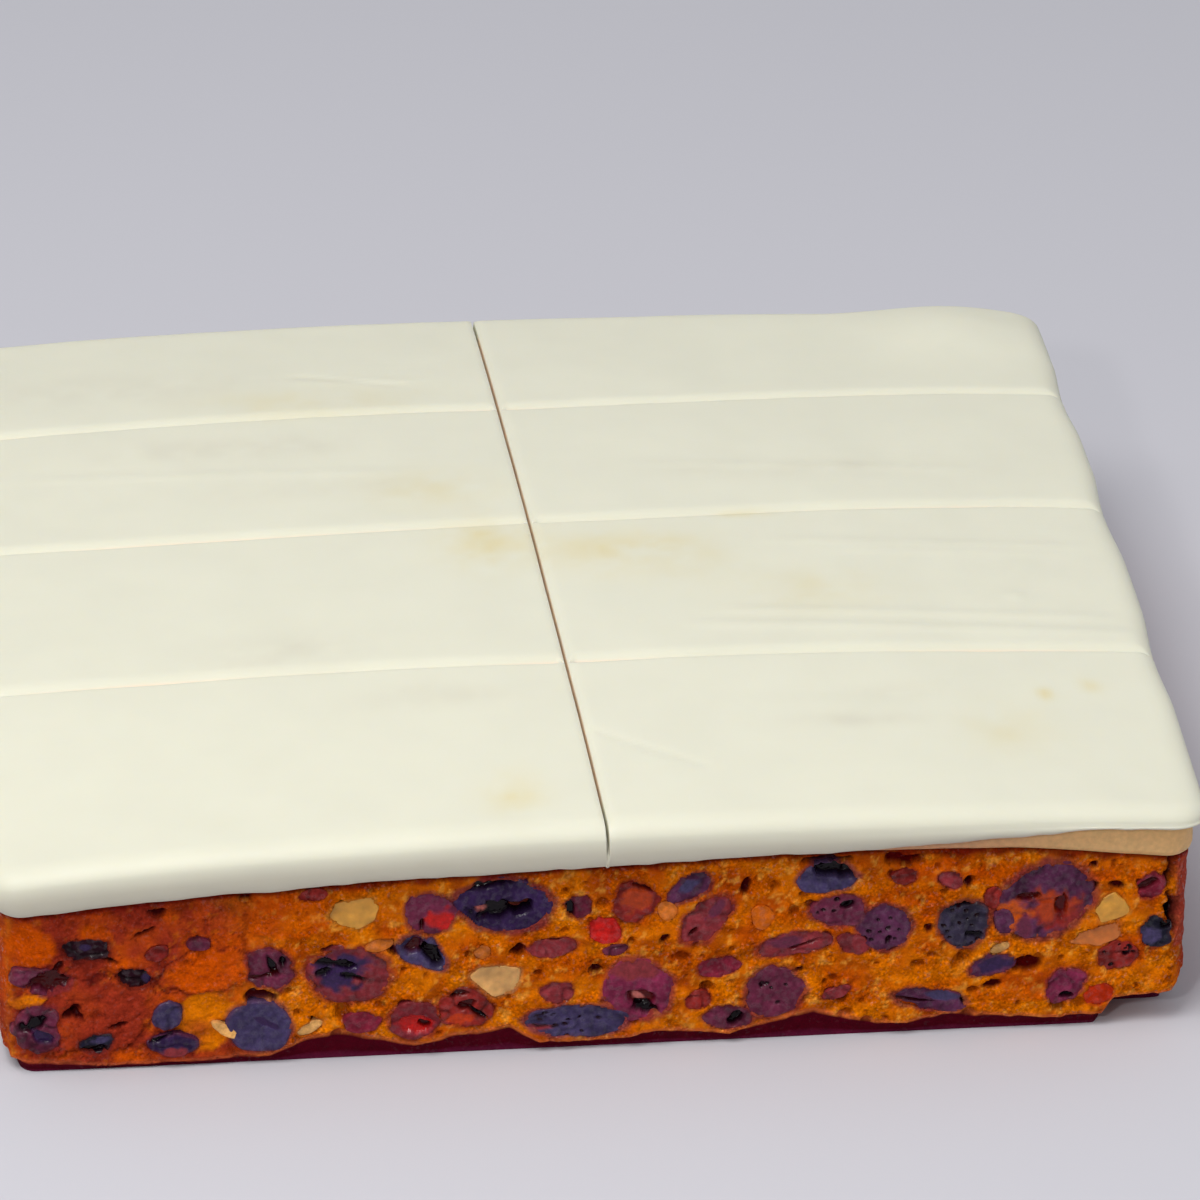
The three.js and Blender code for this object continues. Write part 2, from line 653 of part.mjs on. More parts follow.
let cake = toSolid(cakeBody());
const hollows = [];
for (const piece of placedPieces()) {
  let solid = toSolid(slicedPiece(piece, 0, 0));
  const hollowShape = slicedPiece(piece, GAP, HOLLOW_REACH);
  const box = new THREE.Box3().setFromBufferAttribute(hollowShape.attributes.position);
  for (const hollow of hollows) {
    if (hollow.box.intersectsBox(box)) solid = solid.subtract(hollow.solid);
  }
  const hollow = toSolid(hollowShape);
  hollows.push({ box, solid: hollow });
  cake = cake.subtract(hollow);
  addMesh(piece.name, toGeometry(largestPiece(solid)), COLOURS[piece.kind], ROUGHNESS[piece.kind]);
}
addMesh("cake", toGeometry(largestPiece(cake)), COLOURS.cake, 0.85);

export default group;
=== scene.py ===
"""A slab of iced fruit cake: fine surfaces over the frame's pieces, their materials, light and camera.

Lengths are in millimetres until a mesh is made, which turns them into metres. The cut face with
the fruit looks along -Y, and the origin is on the table under the middle of the slab.
"""

import math

import bpy
import numpy as np
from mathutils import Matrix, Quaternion, Vector


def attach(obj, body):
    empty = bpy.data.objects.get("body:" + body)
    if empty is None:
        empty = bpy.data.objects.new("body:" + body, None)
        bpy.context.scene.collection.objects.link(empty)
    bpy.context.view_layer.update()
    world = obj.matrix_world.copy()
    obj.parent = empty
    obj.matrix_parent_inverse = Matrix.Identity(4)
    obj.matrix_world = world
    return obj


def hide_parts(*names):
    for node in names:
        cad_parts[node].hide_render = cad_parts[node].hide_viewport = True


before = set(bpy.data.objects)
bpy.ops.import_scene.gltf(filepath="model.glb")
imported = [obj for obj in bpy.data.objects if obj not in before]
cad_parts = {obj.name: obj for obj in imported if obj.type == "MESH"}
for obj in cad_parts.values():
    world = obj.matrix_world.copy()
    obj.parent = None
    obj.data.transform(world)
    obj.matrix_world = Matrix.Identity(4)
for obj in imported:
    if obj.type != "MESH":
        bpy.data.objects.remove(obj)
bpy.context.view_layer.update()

MM = 0.001  # metres

# ---------------------------------------------------------------- driving dimensions

SLAB_WIDTH = 206.4  # of the icing, halfway back
SLAB_DEPTH = 210.0  # of the icing, at the middle
HALF_WIDTH = SLAB_WIDTH / 2
HALF_DEPTH = SLAB_DEPTH / 2
WIDENING = 0.025  # the slab is this share narrower at its front and wider at its back
BACK_TURN = 2.75  # how far the back edge runs askew, at each end
BACK_BOW = 3.75  # how far both ends of the back edge curve forward
CORNER_RADIUS = 6.0  # of the icing, seen from above
CORNER_STEPS = np.array([0, 0.04, 0.12, 0.22, 0.34, 0.47, 0.6, 0.74, 0.87])  # shares of it

EDGE_HEIGHT = 43.3  # table to icing along the front and back edges
DOME_RISE = 4.0
DOME_FLATNESS = 2.4
DOME_END_SHARE = 0.6  # the dome rises by this share less at both ends
CREST_X = 20.0  # the front edge is highest here
DROOP_REACH = 100.0  # how far from its crest the front edge's two droops are measured
LEFT_DROOP = 3.4
LEFT_DROOP_POWER = 2.2
RIGHT_DROOP = 3.1
RIGHT_DROOP_POWER = 2
FRONT_SAG_REACH = 45.0
BACK_SAG_REACH = 30.0
BACK_SAG_SHARE = 0.45
LIFTED_CORNER = {"x": 88.0, "y": 90.0, "rise": 2.6, "reach": 15.0}

ICING_THICKNESS = 5.2
MARZIPAN_THICKNESS = 3.0
GAP = 0.3  # between two pieces that touch
LAYER_HUMP = 0.85  # at the front, the layers lie this much higher to the right of the middle
HUMP_FROM_TO = (0, 32)  # where along X they rise
ICING_THINNING = 1.1  # the icing's underside rises by this much more towards the right end
THINNING_FROM_TO = (45, 88)
MARZIPAN_SAG = 1.9  # and the marzipan's underside sags by this much there
SAG_FROM_TO = (66, 99)
FRONT_FADES = (10, 70)  # all three fade out between these distances from the front
ICING_DRAPE = 2.3  # how far the icing hangs over the marzipan along the front and back
LEAST_DRAPE = 0.25

LAYER_SIZES = {
    "icing": (HALF_WIDTH, HALF_DEPTH),
    "skirt": (HALF_WIDTH - 0.5, HALF_DEPTH - 1.8),
    "marzipan": (HALF_WIDTH - 0.8, HALF_DEPTH - 2.1),
    "cake": (HALF_WIDTH - 1.2, HALF_DEPTH - 2.5),
}
HIDDEN_SHARES = (0.73, 0.94)  # the rings on a layer's hidden side, as shares of its size

CROSS_CUTS = (-49.0, 4.0, 54.5)  # where the cuts across the slab lie, front to back
MARK_LEAN = 8.0  # the middle and back cross cuts run this much further back at their right end
EDGE_FALL = 3.0  # the icing's upper edge is rounded off by this much
EDGE_ROUNDING = 5.0  # over this width
EDGE_CURVE = 2.6  # the greater, the closer to the edge the rounding sets in
MARK_AT_EDGE = 0.35  # this share of a knife mark's depth adds to the rounded edge

UNDERCUT = 1.2  # how far the bottom crust lies behind the walls
END_UNDERCUT = 1.3  # and how much further at both ends
CORNER_BREAK = {"x": 86.0, "y": -92.0}  # from here to the front-right corner, the crust is gone
LIP_HEIGHT = 3.0  # how high the bottom edge of a wall stands above the table
FRONT_LIP = (  # the front's bottom edge, as distances along X and heights above the table
    (-100, 2.4), (-88, 1.8), (-82, 0.9), (-66, 1.0), (-55, 1.7), (-49, 4.6), (-43, 5.4), (-37, 4.0),
    (-31, 2.2), (-24, 3.9), (-15, 5.1), (-10, 1.8), (4, 1.9), (9, 3.2), (22, 1.8), (36, 5.5),
    (47, 2.6), (52, 2.1), (58, 4.0), (75, 2.2), (85, 2.4), (87, 5.3), (97, 5.9), (100, 8.3),
)

# ---------------------------------------------------------------- small helpers


def smooth_step(low, high, value):
    """0 below the low value, 1 above the high one and a smooth rise between them."""
    share = np.clip((value - low) / (high - low), 0, 1)
    return share * share * (3 - 2 * share)


def bell(distance, width):
    """1 at no distance, falling off to both sides over about the given width."""
    return np.exp(-((distance / width) ** 2))


def blend(a, b, share):
    """Colours from a to b, by a share for each point."""
    share = np.asarray(share)[..., None]
    return np.asarray(a) * (1 - share) + np.asarray(b) * share


def srgb(red, green, blue):
    """A colour as seen on the screen, 0 to 255, as light."""
    shares = np.array([red, green, blue]) / 255
    return np.where(shares < 0.04045, shares / 12.92, ((shares + 0.055) / 1.055) ** 2.4)


NOISE_CELLS = 32  # after this many lumps the noise repeats


def noise(points, size, seed):
    """Smooth lumps of about the given size in space, between -1 and 1."""
    table = np.random.default_rng(seed).random((NOISE_CELLS,) * 3) * 2 - 1
    places = points / size
    cell = np.floor(places).astype(int)
    share = places - cell
    share = share * share * (3 - 2 * share)
    total = np.zeros(points.shape[:-1])
    for corner in np.ndindex(2, 2, 2):
        weight = np.ones(points.shape[:-1])
        for axis in range(3):
            weight *= share[..., axis] if corner[axis] else 1 - share[..., axis]
        at = (cell + corner) % NOISE_CELLS
        total += weight * table[at[..., 0], at[..., 1], at[..., 2]]
    return total


def rough(points, size, seed, octaves=3):
    """Lumps with smaller lumps on them."""
    total = np.zeros(points.shape[:-1])
    for octave in range(octaves):
        total += noise(points, size / 2.1**octave, seed + octave) * 0.55**octave
    return total


# ---------------------------------------------------------------- the slab's form


def hand_cut(x, y):
    """The slab was cut by hand: it widens towards the back, and its back edge runs askew."""
    back = (y + HALF_DEPTH) / SLAB_DEPTH
    side = x / HALF_WIDTH
    return x * (1 + WIDENING * (2 * back - 1)), y - back * (BACK_TURN * side + BACK_BOW * side**2)


def slab_height(x, y):
    """The icing's upper side without its lifted corner, rounded edges and knife marks."""
    side = x / HALF_WIDTH
    along_depth = 1 - np.abs(y / HALF_DEPTH) ** DOME_FLATNESS
    along_width = 1 - DOME_END_SHARE * side**2
    right_droop = RIGHT_DROOP * (np.maximum(0, x - CREST_X) / DROOP_REACH) ** RIGHT_DROOP_POWER
    left_droop = LEFT_DROOP * (np.maximum(0, CREST_X - x) / DROOP_REACH) ** LEFT_DROOP_POWER
    near_front = bell(y + HALF_DEPTH, FRONT_SAG_REACH)
    near_back = BACK_SAG_SHARE * bell(HALF_DEPTH - y, BACK_SAG_REACH)
    droop = (left_droop + right_droop) * (near_front + near_back)
    return EDGE_HEIGHT + DOME_RISE * along_depth * along_width - droop


def icing_top(x, y):
    away = np.hypot(x - LIFTED_CORNER["x"], y - LIFTED_CORNER["y"])
    return slab_height(x, y) + LIFTED_CORNER["rise"] * bell(away, LIFTED_CORNER["reach"])


def front_share(y):
    """1 at the front, 0 further back."""
    return 1 - smooth_step(*FRONT_FADES, y + HALF_DEPTH)


def layer_hump(x, y):
    return LAYER_HUMP * smooth_step(*HUMP_FROM_TO, x) * front_share(y)


def thinning(x, y):
    return ICING_THINNING * smooth_step(*THINNING_FROM_TO, x) * front_share(y)


def icing_underside(x, y):
    return slab_height(x, y) - ICING_THICKNESS + layer_hump(x, y) + thinning(x, y)


def marzipan_top(x, y):
    return icing_underside(x, y) - GAP


def marzipan_underside(x, y):
    even = slab_height(x, y) - ICING_THICKNESS - GAP - MARZIPAN_THICKNESS
    sag = MARZIPAN_SAG * smooth_step(*SAG_FROM_TO, x) * front_share(y)
    return even + layer_hump(x, y) - sag


def cake_top(x, y):
    return marzipan_underside(x, y) - GAP


def round_corner(x, y):
    """The place with the rectangle's corners rounded, the way outwards, and how far in it lies."""
    over_x = (np.abs(x) - HALF_WIDTH) / CORNER_RADIUS + 1
    over_y = (np.abs(y) - HALF_DEPTH) / CORNER_RADIUS + 1
    in_corner = (over_x > 0) & (over_y > 0)
    at_end = over_x > over_y
    over_x = np.clip(over_x, 0, 1)
    over_y = np.clip(over_y, 0, 1)
    round_x = over_x * np.sqrt(1 - over_y**2 / 2)
    round_y = over_y * np.sqrt(1 - over_x**2 / 2)
    length = np.maximum(np.hypot(round_x, round_y), 1e-9)
    corner_x = np.sign(x) * (HALF_WIDTH - CORNER_RADIUS + CORNER_RADIUS * round_x)
    corner_y = np.sign(y) * (HALF_DEPTH - CORNER_RADIUS + CORNER_RADIUS * round_y)
    straight = np.minimum(HALF_WIDTH - np.abs(x), HALF_DEPTH - np.abs(y))
    return {
        "x": np.where(in_corner, corner_x, x),
        "y": np.where(in_corner, corner_y, y),
        "nx": np.where(in_corner, np.sign(x) * round_x / length, np.where(at_end, np.sign(x), 0)),
        "ny": np.where(in_corner, np.sign(y) * round_y / length, np.where(at_end, 0, np.sign(y))),
        "from_edge": np.where(in_corner, CORNER_RADIUS * (1 - length), straight),
    }


def around_edge(front_x, back_x, end_y):
    """Places round the slab's outline, anticlockwise from the front-left corner."""
    x = np.concatenate([
        front_x,
        np.full(len(end_y) - 1, HALF_WIDTH),
        back_x[-2::-1],
        np.full(len(end_y) - 2, -HALF_WIDTH),
    ])
    y = np.concatenate([
        np.full(len(front_x), -HALF_DEPTH),
        end_y[1:],
        np.full(len(back_x) - 1, HALF_DEPTH),
        end_y[-2:0:-1],
    ])
    return round_corner(x, y)


def even_lines(half, spacing):
    """Lines from one edge to the other, closer together round the corners."""
    inside = half - CORNER_RADIUS
    corner = CORNER_RADIUS * CORNER_STEPS
    middle = np.linspace(-inside, inside, max(2, round(2 * inside / spacing)))
    return np.concatenate([-half + corner, middle, (half - corner)[::-1]])


def layer_ring(outline, layer, inset=0, share=1):
    """One ring round a layer, seen from above; share shrinks it towards the middle."""
    half_width, half_depth = LAYER_SIZES[layer]
    x = outline["x"] / HALF_WIDTH * half_width * share - outline["nx"] * inset
    y = outline["y"] / HALF_DEPTH * half_depth * share - outline["ny"] * inset
    return hand_cut(x, y)


class Shape:
    """The vertices, colours and faces of one piece, while it is being built."""

    def __init__(self):
        self.points = []
        self.colours = []
        self.shine = []
        self.faces = []
        self.count = 0

    def add(self, points, colour=(0.5, 0.5, 0.5), shine=0.3):
        """Adds vertices and gives their numbers."""
        points = np.asarray(points, float).reshape(-1, 3)
        self.points.append(points)
        self.colours.append(np.broadcast_to(np.asarray(colour, float), points.shape))
        self.shine.append(np.broadcast_to(np.asarray(shine, float), len(points)))
        first = self.count
        self.count += len(points)
        return np.arange(first, self.count)

    def band(self, lower, upper):
        """Quads between two closed rings of vertices, the lower or inner one first."""
        quads = np.stack([lower, np.roll(lower, -1), np.roll(upper, -1), upper], axis=1)
        self.faces += quads.tolist()

    def skin(self, rings):
        """Joins closed rings, from below or within."""
        for lower, upper in zip(rings[:-1], rings[1:]):
            self.band(lower, upper)

    def close_below(self, middle, ring):
        self.faces += [[middle, after, here] for here, after in zip(ring, np.roll(ring, -1))]

    def close_above(self, middle, ring):
        self.faces += [[middle, here, after] for here, after in zip(ring, np.roll(ring, -1))]

    def make(self, name, material):
        mesh = bpy.data.meshes.new(name)
        mesh.from_pydata(np.concatenate(self.points) * MM, [], self.faces)
        mesh.polygons.foreach_set("use_smooth", [True] * len(mesh.polygons))
        colours = np.concatenate(self.colours)
        opaque = np.concatenate([colours, np.ones((len(colours), 1))], axis=1)
        mesh.color_attributes.new("tone", "FLOAT_COLOR", "POINT")
        mesh.color_attributes["tone"].data.foreach_set("color", opaque.ravel())
        mesh.attributes.new("shine", "FLOAT", "POINT")
        mesh.attributes["shine"].data.foreach_set("value", np.concatenate(self.shine))
        mesh.materials.append(material)
        piece = bpy.data.objects.new(name, mesh)
        bpy.context.scene.collection.objects.link(piece)
        return piece


# ---------------------------------------------------------------- materials


def node_material(name):
    material = bpy.data.materials.new(name)
    material.use_nodes = True
    shader = material.node_tree.nodes["Principled BSDF"]
    return material, material.node_tree, shader


def link(tree, source, target):
    tree.links.new(source, target)
    return target


def noise_node(tree, size, detail=3.0, stretch=(1, 1, 1)):
    """A noise texture with lumps of about the given size in millimetres."""
    place = tree.nodes.new("ShaderNodeTexCoord")
    mapping = tree.nodes.new("ShaderNodeMapping")
    mapping.inputs["Scale"].default_value = stretch
    texture = tree.nodes.new("ShaderNodeTexNoise")
    texture.inputs["Scale"].default_value = 1 / (size * MM)
    texture.inputs["Detail"].default_value = detail
    link(tree, place.outputs["Object"], mapping.inputs["Vector"])
    link(tree, mapping.outputs["Vector"], texture.inputs["Vector"])
    return texture.outputs["Fac"]


def to_range(tree, value, low, high, from_low=0.3, from_high=0.7):
    node = tree.nodes.new("ShaderNodeMapRange")
    node.inputs["From Min"].default_value = from_low
    node.inputs["From Max"].default_value = from_high
    node.inputs["To Min"].default_value = low
    node.inputs["To Max"].default_value = high
    link(tree, value, node.inputs["Value"])
    return node.outputs["Result"]


def scaled(tree, colour, factor):
    """A colour made lighter or darker by a factor."""
    node = tree.nodes.new("ShaderNodeVectorMath")
    node.operation = "SCALE"
    link(tree, colour, node.inputs[0])
    link(tree, factor, node.inputs["Scale"])
    return node.outputs["Vector"]


def attribute(tree, name):
    """A colour or a number that the mesh carries."""
    node = tree.nodes.new("ShaderNodeAttribute")
    node.attribute_name = name
    return node.outputs["Color" if name == "tone" else "Fac"]


def grain_node(tree, size):
    """Rounded grains of about the given size: 0 at their middles, larger between them."""
    place = tree.nodes.new("ShaderNodeTexCoord")
    texture = tree.nodes.new("ShaderNodeTexVoronoi")
    texture.inputs["Scale"].default_value = 1 / (size * MM)
    texture.inputs["Randomness"].default_value = 1.0
    link(tree, place.outputs["Object"], texture.inputs["Vector"])
    return texture.outputs["Distance"]


def mixed(tree, share, first, second):
    """A number between two others."""
    node = tree.nodes.new("ShaderNodeMix")
    node.data_type = "FLOAT"
    link(tree, share, node.inputs["Factor"])
    for value, socket in ((first, node.inputs["A"]), (second, node.inputs["B"])):
        if isinstance(value, (int, float)):
            socket.default_value = value
        else:
            link(tree, value, socket)
    return node.outputs["Result"]


def bump(tree, shader, value, height, strength=1.0):
    node = tree.nodes.new("ShaderNodeBump")
    node.inputs["Distance"].default_value = height * MM
    node.inputs["Strength"].default_value = strength
    link(tree, value, node.inputs["Height"])
    link(tree, node.outputs["Normal"], shader.inputs["Normal"])


def crumb_material():
    material, tree, shader = node_material("crumb")
    patchy = to_range(tree, noise_node(tree, 4.5), 0, 1, 0.47, 0.6)
    smeared = mixed(tree, patchy, attribute(tree, "shine"), 0.75)
    grain = grain_node(tree, 0.7)
    open_grain = to_range(tree, grain, 1.15, 0.85, 0.1, 0.65)
    specks = to_range(tree, noise_node(tree, 0.5), 0.7, 1.32, 0.3, 0.7)
    coarse = to_range(tree, noise_node(tree, 2.0), 0.86, 1.15)
    shade = scaled(tree, attribute(tree, "tone"), mixed(tree, smeared, open_grain, 1.0))
    shade = scaled(tree, scaled(tree, shade, mixed(tree, smeared, specks, 1.0)), coarse)
    link(tree, shade, shader.inputs["Base Color"])
    moist = noise_node(tree, 0.7)
    link(tree, to_range(tree, moist, 0.8, 0.2, 0.58, 0.66), shader.inputs["Roughness"])
    sparkle = to_range(tree, moist, 0.0, 0.5, 0.58, 0.66)
    link(tree, mixed(tree, smeared, sparkle, 0.04), shader.inputs["Specular IOR Level"])
    height = mixed(tree, smeared, to_range(tree, grain, 0.8, 0, 0, 0.8), 0.4)
    rough_height = tree.nodes.new("ShaderNodeMath")
    link(tree, height, rough_height.inputs[0])
    link(tree, noise_node(tree, 0.6, 5.0), rough_height.inputs[1])
    bump(tree, shader, rough_height.outputs["Value"], 0.22)
    return material


def fruit_material():
    material, tree, shader = node_material("fruit")
    mottled = scaled(tree, attribute(tree, "tone"), to_range(tree, noise_node(tree, 1.0), 0.78, 1.22))
    mottled = scaled(tree, mottled, to_range(tree, noise_node(tree, 0.35), 0.9, 1.1))
    link(tree, mottled, shader.inputs["Base Color"])
    moist = noise_node(tree, 1.1)
    dull = to_range(tree, moist, 0.6, 0.25, 0.45, 0.65)
    link(tree, mixed(tree, attribute(tree, "shine"), dull, 0.1), shader.inputs["Roughness"])
    weak = to_range(tree, moist, 0.08, 0.4, 0.45, 0.65)
    gloss = mixed(tree, attribute(tree, "shine"), weak, 0.18)
    link(tree, gloss, shader.inputs["Specular IOR Level"])
    bump(tree, shader, noise_node(tree, 1.1, 1.5), 0.14)
    return material


def nut_material():
    material, tree, shader = node_material("nut")
    mottled = scaled(tree, attribute(tree, "tone"), to_range(tree, noise_node(tree, 1.4), 0.88, 1.1))
    link(tree, mottled, shader.inputs["Base Color"])
    shader.inputs["Roughness"].default_value = 0.5
    shader.inputs["Subsurface Weight"].default_value = 0.15
    shader.inputs["Subsurface Scale"].default_value = 1.0 * MM
    return material


def icing_material():
    material, tree, shader = node_material("icing")
    soft = to_range(tree, noise_node(tree, 14, 2.0), 0.985, 1.012)
    link(tree, scaled(tree, attribute(tree, "tone"), soft), shader.inputs["Base Color"])
    shader.inputs["Roughness"].default_value = 0.48
    shader.inputs["Specular IOR Level"].default_value = 0.35
    shader.inputs["Subsurface Weight"].default_value = 0.35
    shader.inputs["Subsurface Radius"].default_value = (1.0, 0.85, 0.6)
    shader.inputs["Subsurface Scale"].default_value = 2.0 * MM
    bump(tree, shader, noise_node(tree, 9, 3.0, stretch=(0.25, 1.6, 1)), 0.12, 0.6)
    return material


def marzipan_material():
    material, tree, shader = node_material("marzipan")
    grain = to_range(tree, noise_node(tree, 0.9), 0.9, 1.08)
    link(tree, scaled(tree, attribute(tree, "tone"), grain), shader.inputs["Base Color"])
    shader.inputs["Roughness"].default_value = 0.6
    shader.inputs["Subsurface Weight"].default_value = 0.2
    shader.inputs["Subsurface Scale"].default_value = 1.5 * MM
    bump(tree, shader, noise_node(tree, 0.8), 0.08)
    return material


crumb = crumb_material()
fruit = fruit_material()
nut = nut_material()
icing = icing_material()
marzipan = marzipan_material()

# ---------------------------------------------------------------- icing

ICING_WHITE = srgb(223, 222, 203)
ICING_PAINTED_SHADE = srgb(194, 189, 172)  # painted shade, low on its outside, where less light falls
SLOT = srgb(238, 218, 194)  # inside the knife marks
STAIN = srgb(219, 209, 168)
# Faint yellow stains on the top: middle along X and Y, size along X and Y, and strength.
STAINS = (
    (-17, 20, 10, 7, 0.45),
    (-9, -4, 8, 9, 0.7),
    (14, -9, 12, 8, 0.6),
    (26, -14, 9, 9, 0.2),
    (37.5, 5, 4.5, 1.6, 1.0),
    (-13.5, -93, 4.5, 6, 0.55),
    (72, -77, 7, 7, 0.33),
    (80, -65.5, 1.3, 2.0, 0.9),
    (88.5, -62, 1.8, 2.4, 0.6),
    (46, -27, 12, 8, 0.3),
    (-36, 62, 18, 7, 0.3),
)
GREY = srgb(212, 209, 190)
# Greyish smears on the top, in the same order.
SMEARS = (
    (47, -73.5, 11, 2.2, 0.5),
    (54, -64, 6, 2.5, 0.4),
    (-52, 42, 24, 5, 0.45),
    (-48, -42, 14, 6, 0.4),
    (-22, -60, 14, 4, 0.35),
    (-37, 22, 20, 4, 0.3),
    (52, 24, 26, 4, 0.3),
    (-70, 74, 22, 7, 0.35),
)
RIDGE_SLOPE = 0.075  # how far the ridges run askew
# Shallow ridges and one trough across the slab: place along Y, rise, width and reach along X.
RIDGES = (
    (-38.5, 0.28, 1.6, (24, 100)),
    (-33.5, 0.22, 1.5, (30, 96)),
    (-6.5, 0.18, 1.6, (40, 96)),
    (-10.5, 0.14, 1.4, (50, 90)),
    (33.0, 0.14, 1.8, (-90, -20)),
    (27.0, 0.12, 1.6, (20, 80)),
    (-63.0, -0.16, 2.6, (30, 62)),
    (72.0, 0.14, 1.6, (-38, -16)),
)
SCRATCH = {"depth": 0.22, "width": 0.8}
SCRATCHES = (  # from and to
    ((0.5, -73), (10, -80.5)),
    ((10, -80.5), (19, -86.5)),
    ((-38, 75), (-18, 68)),
)
BUBBLE = {"x": 80.8, "y": -29.9, "size": 1.4, "rise": 0.3}

CROSS_MARK = {"before": 1.0, "before_lip": 0.35, "after": 2.8, "after_lip": 1.1, "depth": 2.7}
LONG_MARK = {"before": 1.3, "before_lip": 0.4, "after": 1.6, "after_lip": 0.55, "depth": 3.4}
MARK_HALF_WIDTH = 0.27
EDGE_DEEPENING = 0.25  # the long mark is this share deeper at the icing's edge
LONG_MARK_BEND = (-0.9, -1.1, 0.5)  # its place along X: at the middle, and how it changes along Y
MARK_WANDER = 0.6
END_BULGE = 0.8  # how far the ends of the bars stand out between the cross cuts


def mark_depth(mark, offset):
    """How deep a knife mark is across its line: a narrow slot between two rounded shoulders."""
    beyond = np.maximum(0, np.abs(offset) - MARK_HALF_WIDTH)
    width = np.where(offset < 0, mark["before"], mark["after"])
    lip = np.where(offset < 0, mark["before_lip"], mark["after_lip"])
    shoulder = lip * np.clip(1 - beyond / width, 0, 1) ** 2
    slot = 1 - smooth_step(0.75 * MARK_HALF_WIDTH, 1.25 * MARK_HALF_WIDTH, np.abs(offset))
    return np.maximum(shoulder, mark["depth"] * slot)


def fall_at(line_x, line_y, from_edge):
    """How much lower than the dome the icing's upper side is, at its edge and in the marks."""
    nearness = np.clip(1 - from_edge / EDGE_ROUNDING, 0, 1)
    edge_fall = EDGE_FALL - 0.5 * thinning(line_x, line_y)
    edge = edge_fall * (1 - np.sqrt(1 - nearness**EDGE_CURVE))
    crossing = smooth_step(0.4, 1.8, np.abs(line_x))
    mark = np.zeros_like(edge)
    for cut in CROSS_CUTS:
        mark = np.maximum(mark, crossing * mark_depth(CROSS_MARK, line_y - cut))
    near_edge = 1 - smooth_step(0, 4, from_edge)
    mark = np.maximum(mark, (1 + EDGE_DEEPENING * near_edge) * mark_depth(LONG_MARK, line_x))
    return np.maximum(edge, mark) + MARK_AT_EDGE * np.minimum(edge, mark)


def end_bulge(y):
    """How far the icing's ends stand out: nothing at the cross cuts and most between them."""
    nearest = np.min([np.abs(y - cut) for cut in CROSS_CUTS], axis=0)
    return END_BULGE * smooth_step(2, 18, nearest)


def worked_marks(x, y):
    """How much the rolling and cutting left the icing's upper side higher or lower."""
    level = BUBBLE["rise"] * bell(np.hypot(x - BUBBLE["x"], y - BUBBLE["y"]), BUBBLE["size"])
    for place, rise, width, (start, end) in RIDGES:
        reach = smooth_step(start - 8, start + 8, x) * (1 - smooth_step(end - 8, end + 8, x))
        level = level + rise * reach * bell(y - place + RIDGE_SLOPE * (x - start), width)
    for (start_x, start_y), (end_x, end_y) in SCRATCHES:
        long = np.hypot(end_x - start_x, end_y - start_y)
        ahead_x, ahead_y = (end_x - start_x) / long, (end_y - start_y) / long
        along = (x - start_x) * ahead_x + (y - start_y) * ahead_y
        across = (y - start_y) * ahead_x - (x - start_x) * ahead_y
        within = (along > 0) & (along < long)
        level = level - SCRATCH["depth"] * bell(across, SCRATCH["width"]) * within
    return level


def icing_places(line_x, line_y):
    """Where lines cross on the icing's upper side, with the lines bent along the knife marks."""
    rounded = round_corner(line_x, line_y)
    near_long_cut = 1 - smooth_step(3, 25, np.abs(line_x))
    near_end = smooth_step(HALF_WIDTH - 14, HALF_WIDTH, np.abs(line_x))
    near_edge = smooth_step(HALF_DEPTH - 20, HALF_DEPTH, np.abs(line_y))
    far = line_y / HALF_DEPTH
    at_middle, slope, curve = LONG_MARK_BEND
    x = rounded["x"] + near_long_cut * (at_middle + slope * far + curve * far**2)
    x += near_end * np.sign(line_x) * end_bulge(line_y)
    lean = MARK_LEAN * smooth_step(0, HALF_WIDTH, line_x) * smooth_step(-50, 30, line_y)
    wander = MARK_WANDER * np.sin(line_x / 31 + line_y / 40)
    y = rounded["y"] + (1 - near_edge) * (lean + wander)
    x, y = hand_cut(x, y)
    flat = np.stack([x, y, np.zeros_like(x)], axis=-1)
    uneven = 0.16 * noise(flat, 24, 41) + 0.05 * noise(flat, 6, 42) + worked_marks(x, y)
    z = icing_top(x, y) - fall_at(line_x, line_y, rounded["from_edge"]) + uneven
    return np.stack([x, y, z], axis=-1)


ICING_SPACING = 1.0  # between the lines on the plain parts of the icing


def icing_lines(half, marks, spacing):
    """Lines across the icing, close together at its edge and at the knife marks."""
    edge = np.array([0, 0.1, 0.25, 0.45, 0.7, 1.0, 1.4, 1.9, 2.5, 3.2, 4.0, 4.9, CORNER_RADIUS])
    slot = MARK_HALF_WIDTH * np.array([0.6, 0.75, 0.85, 0.95, 1.05, 1.15, 1.3])
    shoulder = np.array([0.55, 0.75, 1.0, 1.35, 1.8, 2.4, 3.2])
    beside = np.concatenate([slot, shoulder])
    lines = [-half + edge, (half - edge)[::-1]]
    lines += [mark + np.concatenate([-beside[::-1], beside]) for mark in marks]
    stops = np.concatenate([[-half + CORNER_RADIUS], marks, [half - CORNER_RADIUS]])
    for i, (start, end) in enumerate(zip(stops[:-1], stops[1:])):
        start += spacing if i == 0 else beside[-1] + spacing
        end -= spacing if i == len(marks) else beside[-1] + spacing
        lines.append(np.linspace(start, end, round((end - start) / spacing) + 1))
    return np.sort(np.concatenate(lines))


DRAPE_END = (30, 92)  # between these places along X the front's drape fades out
RIM_RINGS = ((0.0, 0.65), (0.1, 0.3), (0.3, 0.1))  # the icing's lower rim: height above it, and inset
RIM_HEIGHT = 0.3
ICING_BELLY = 0.25  # how far the icing's outside stands out at half its height


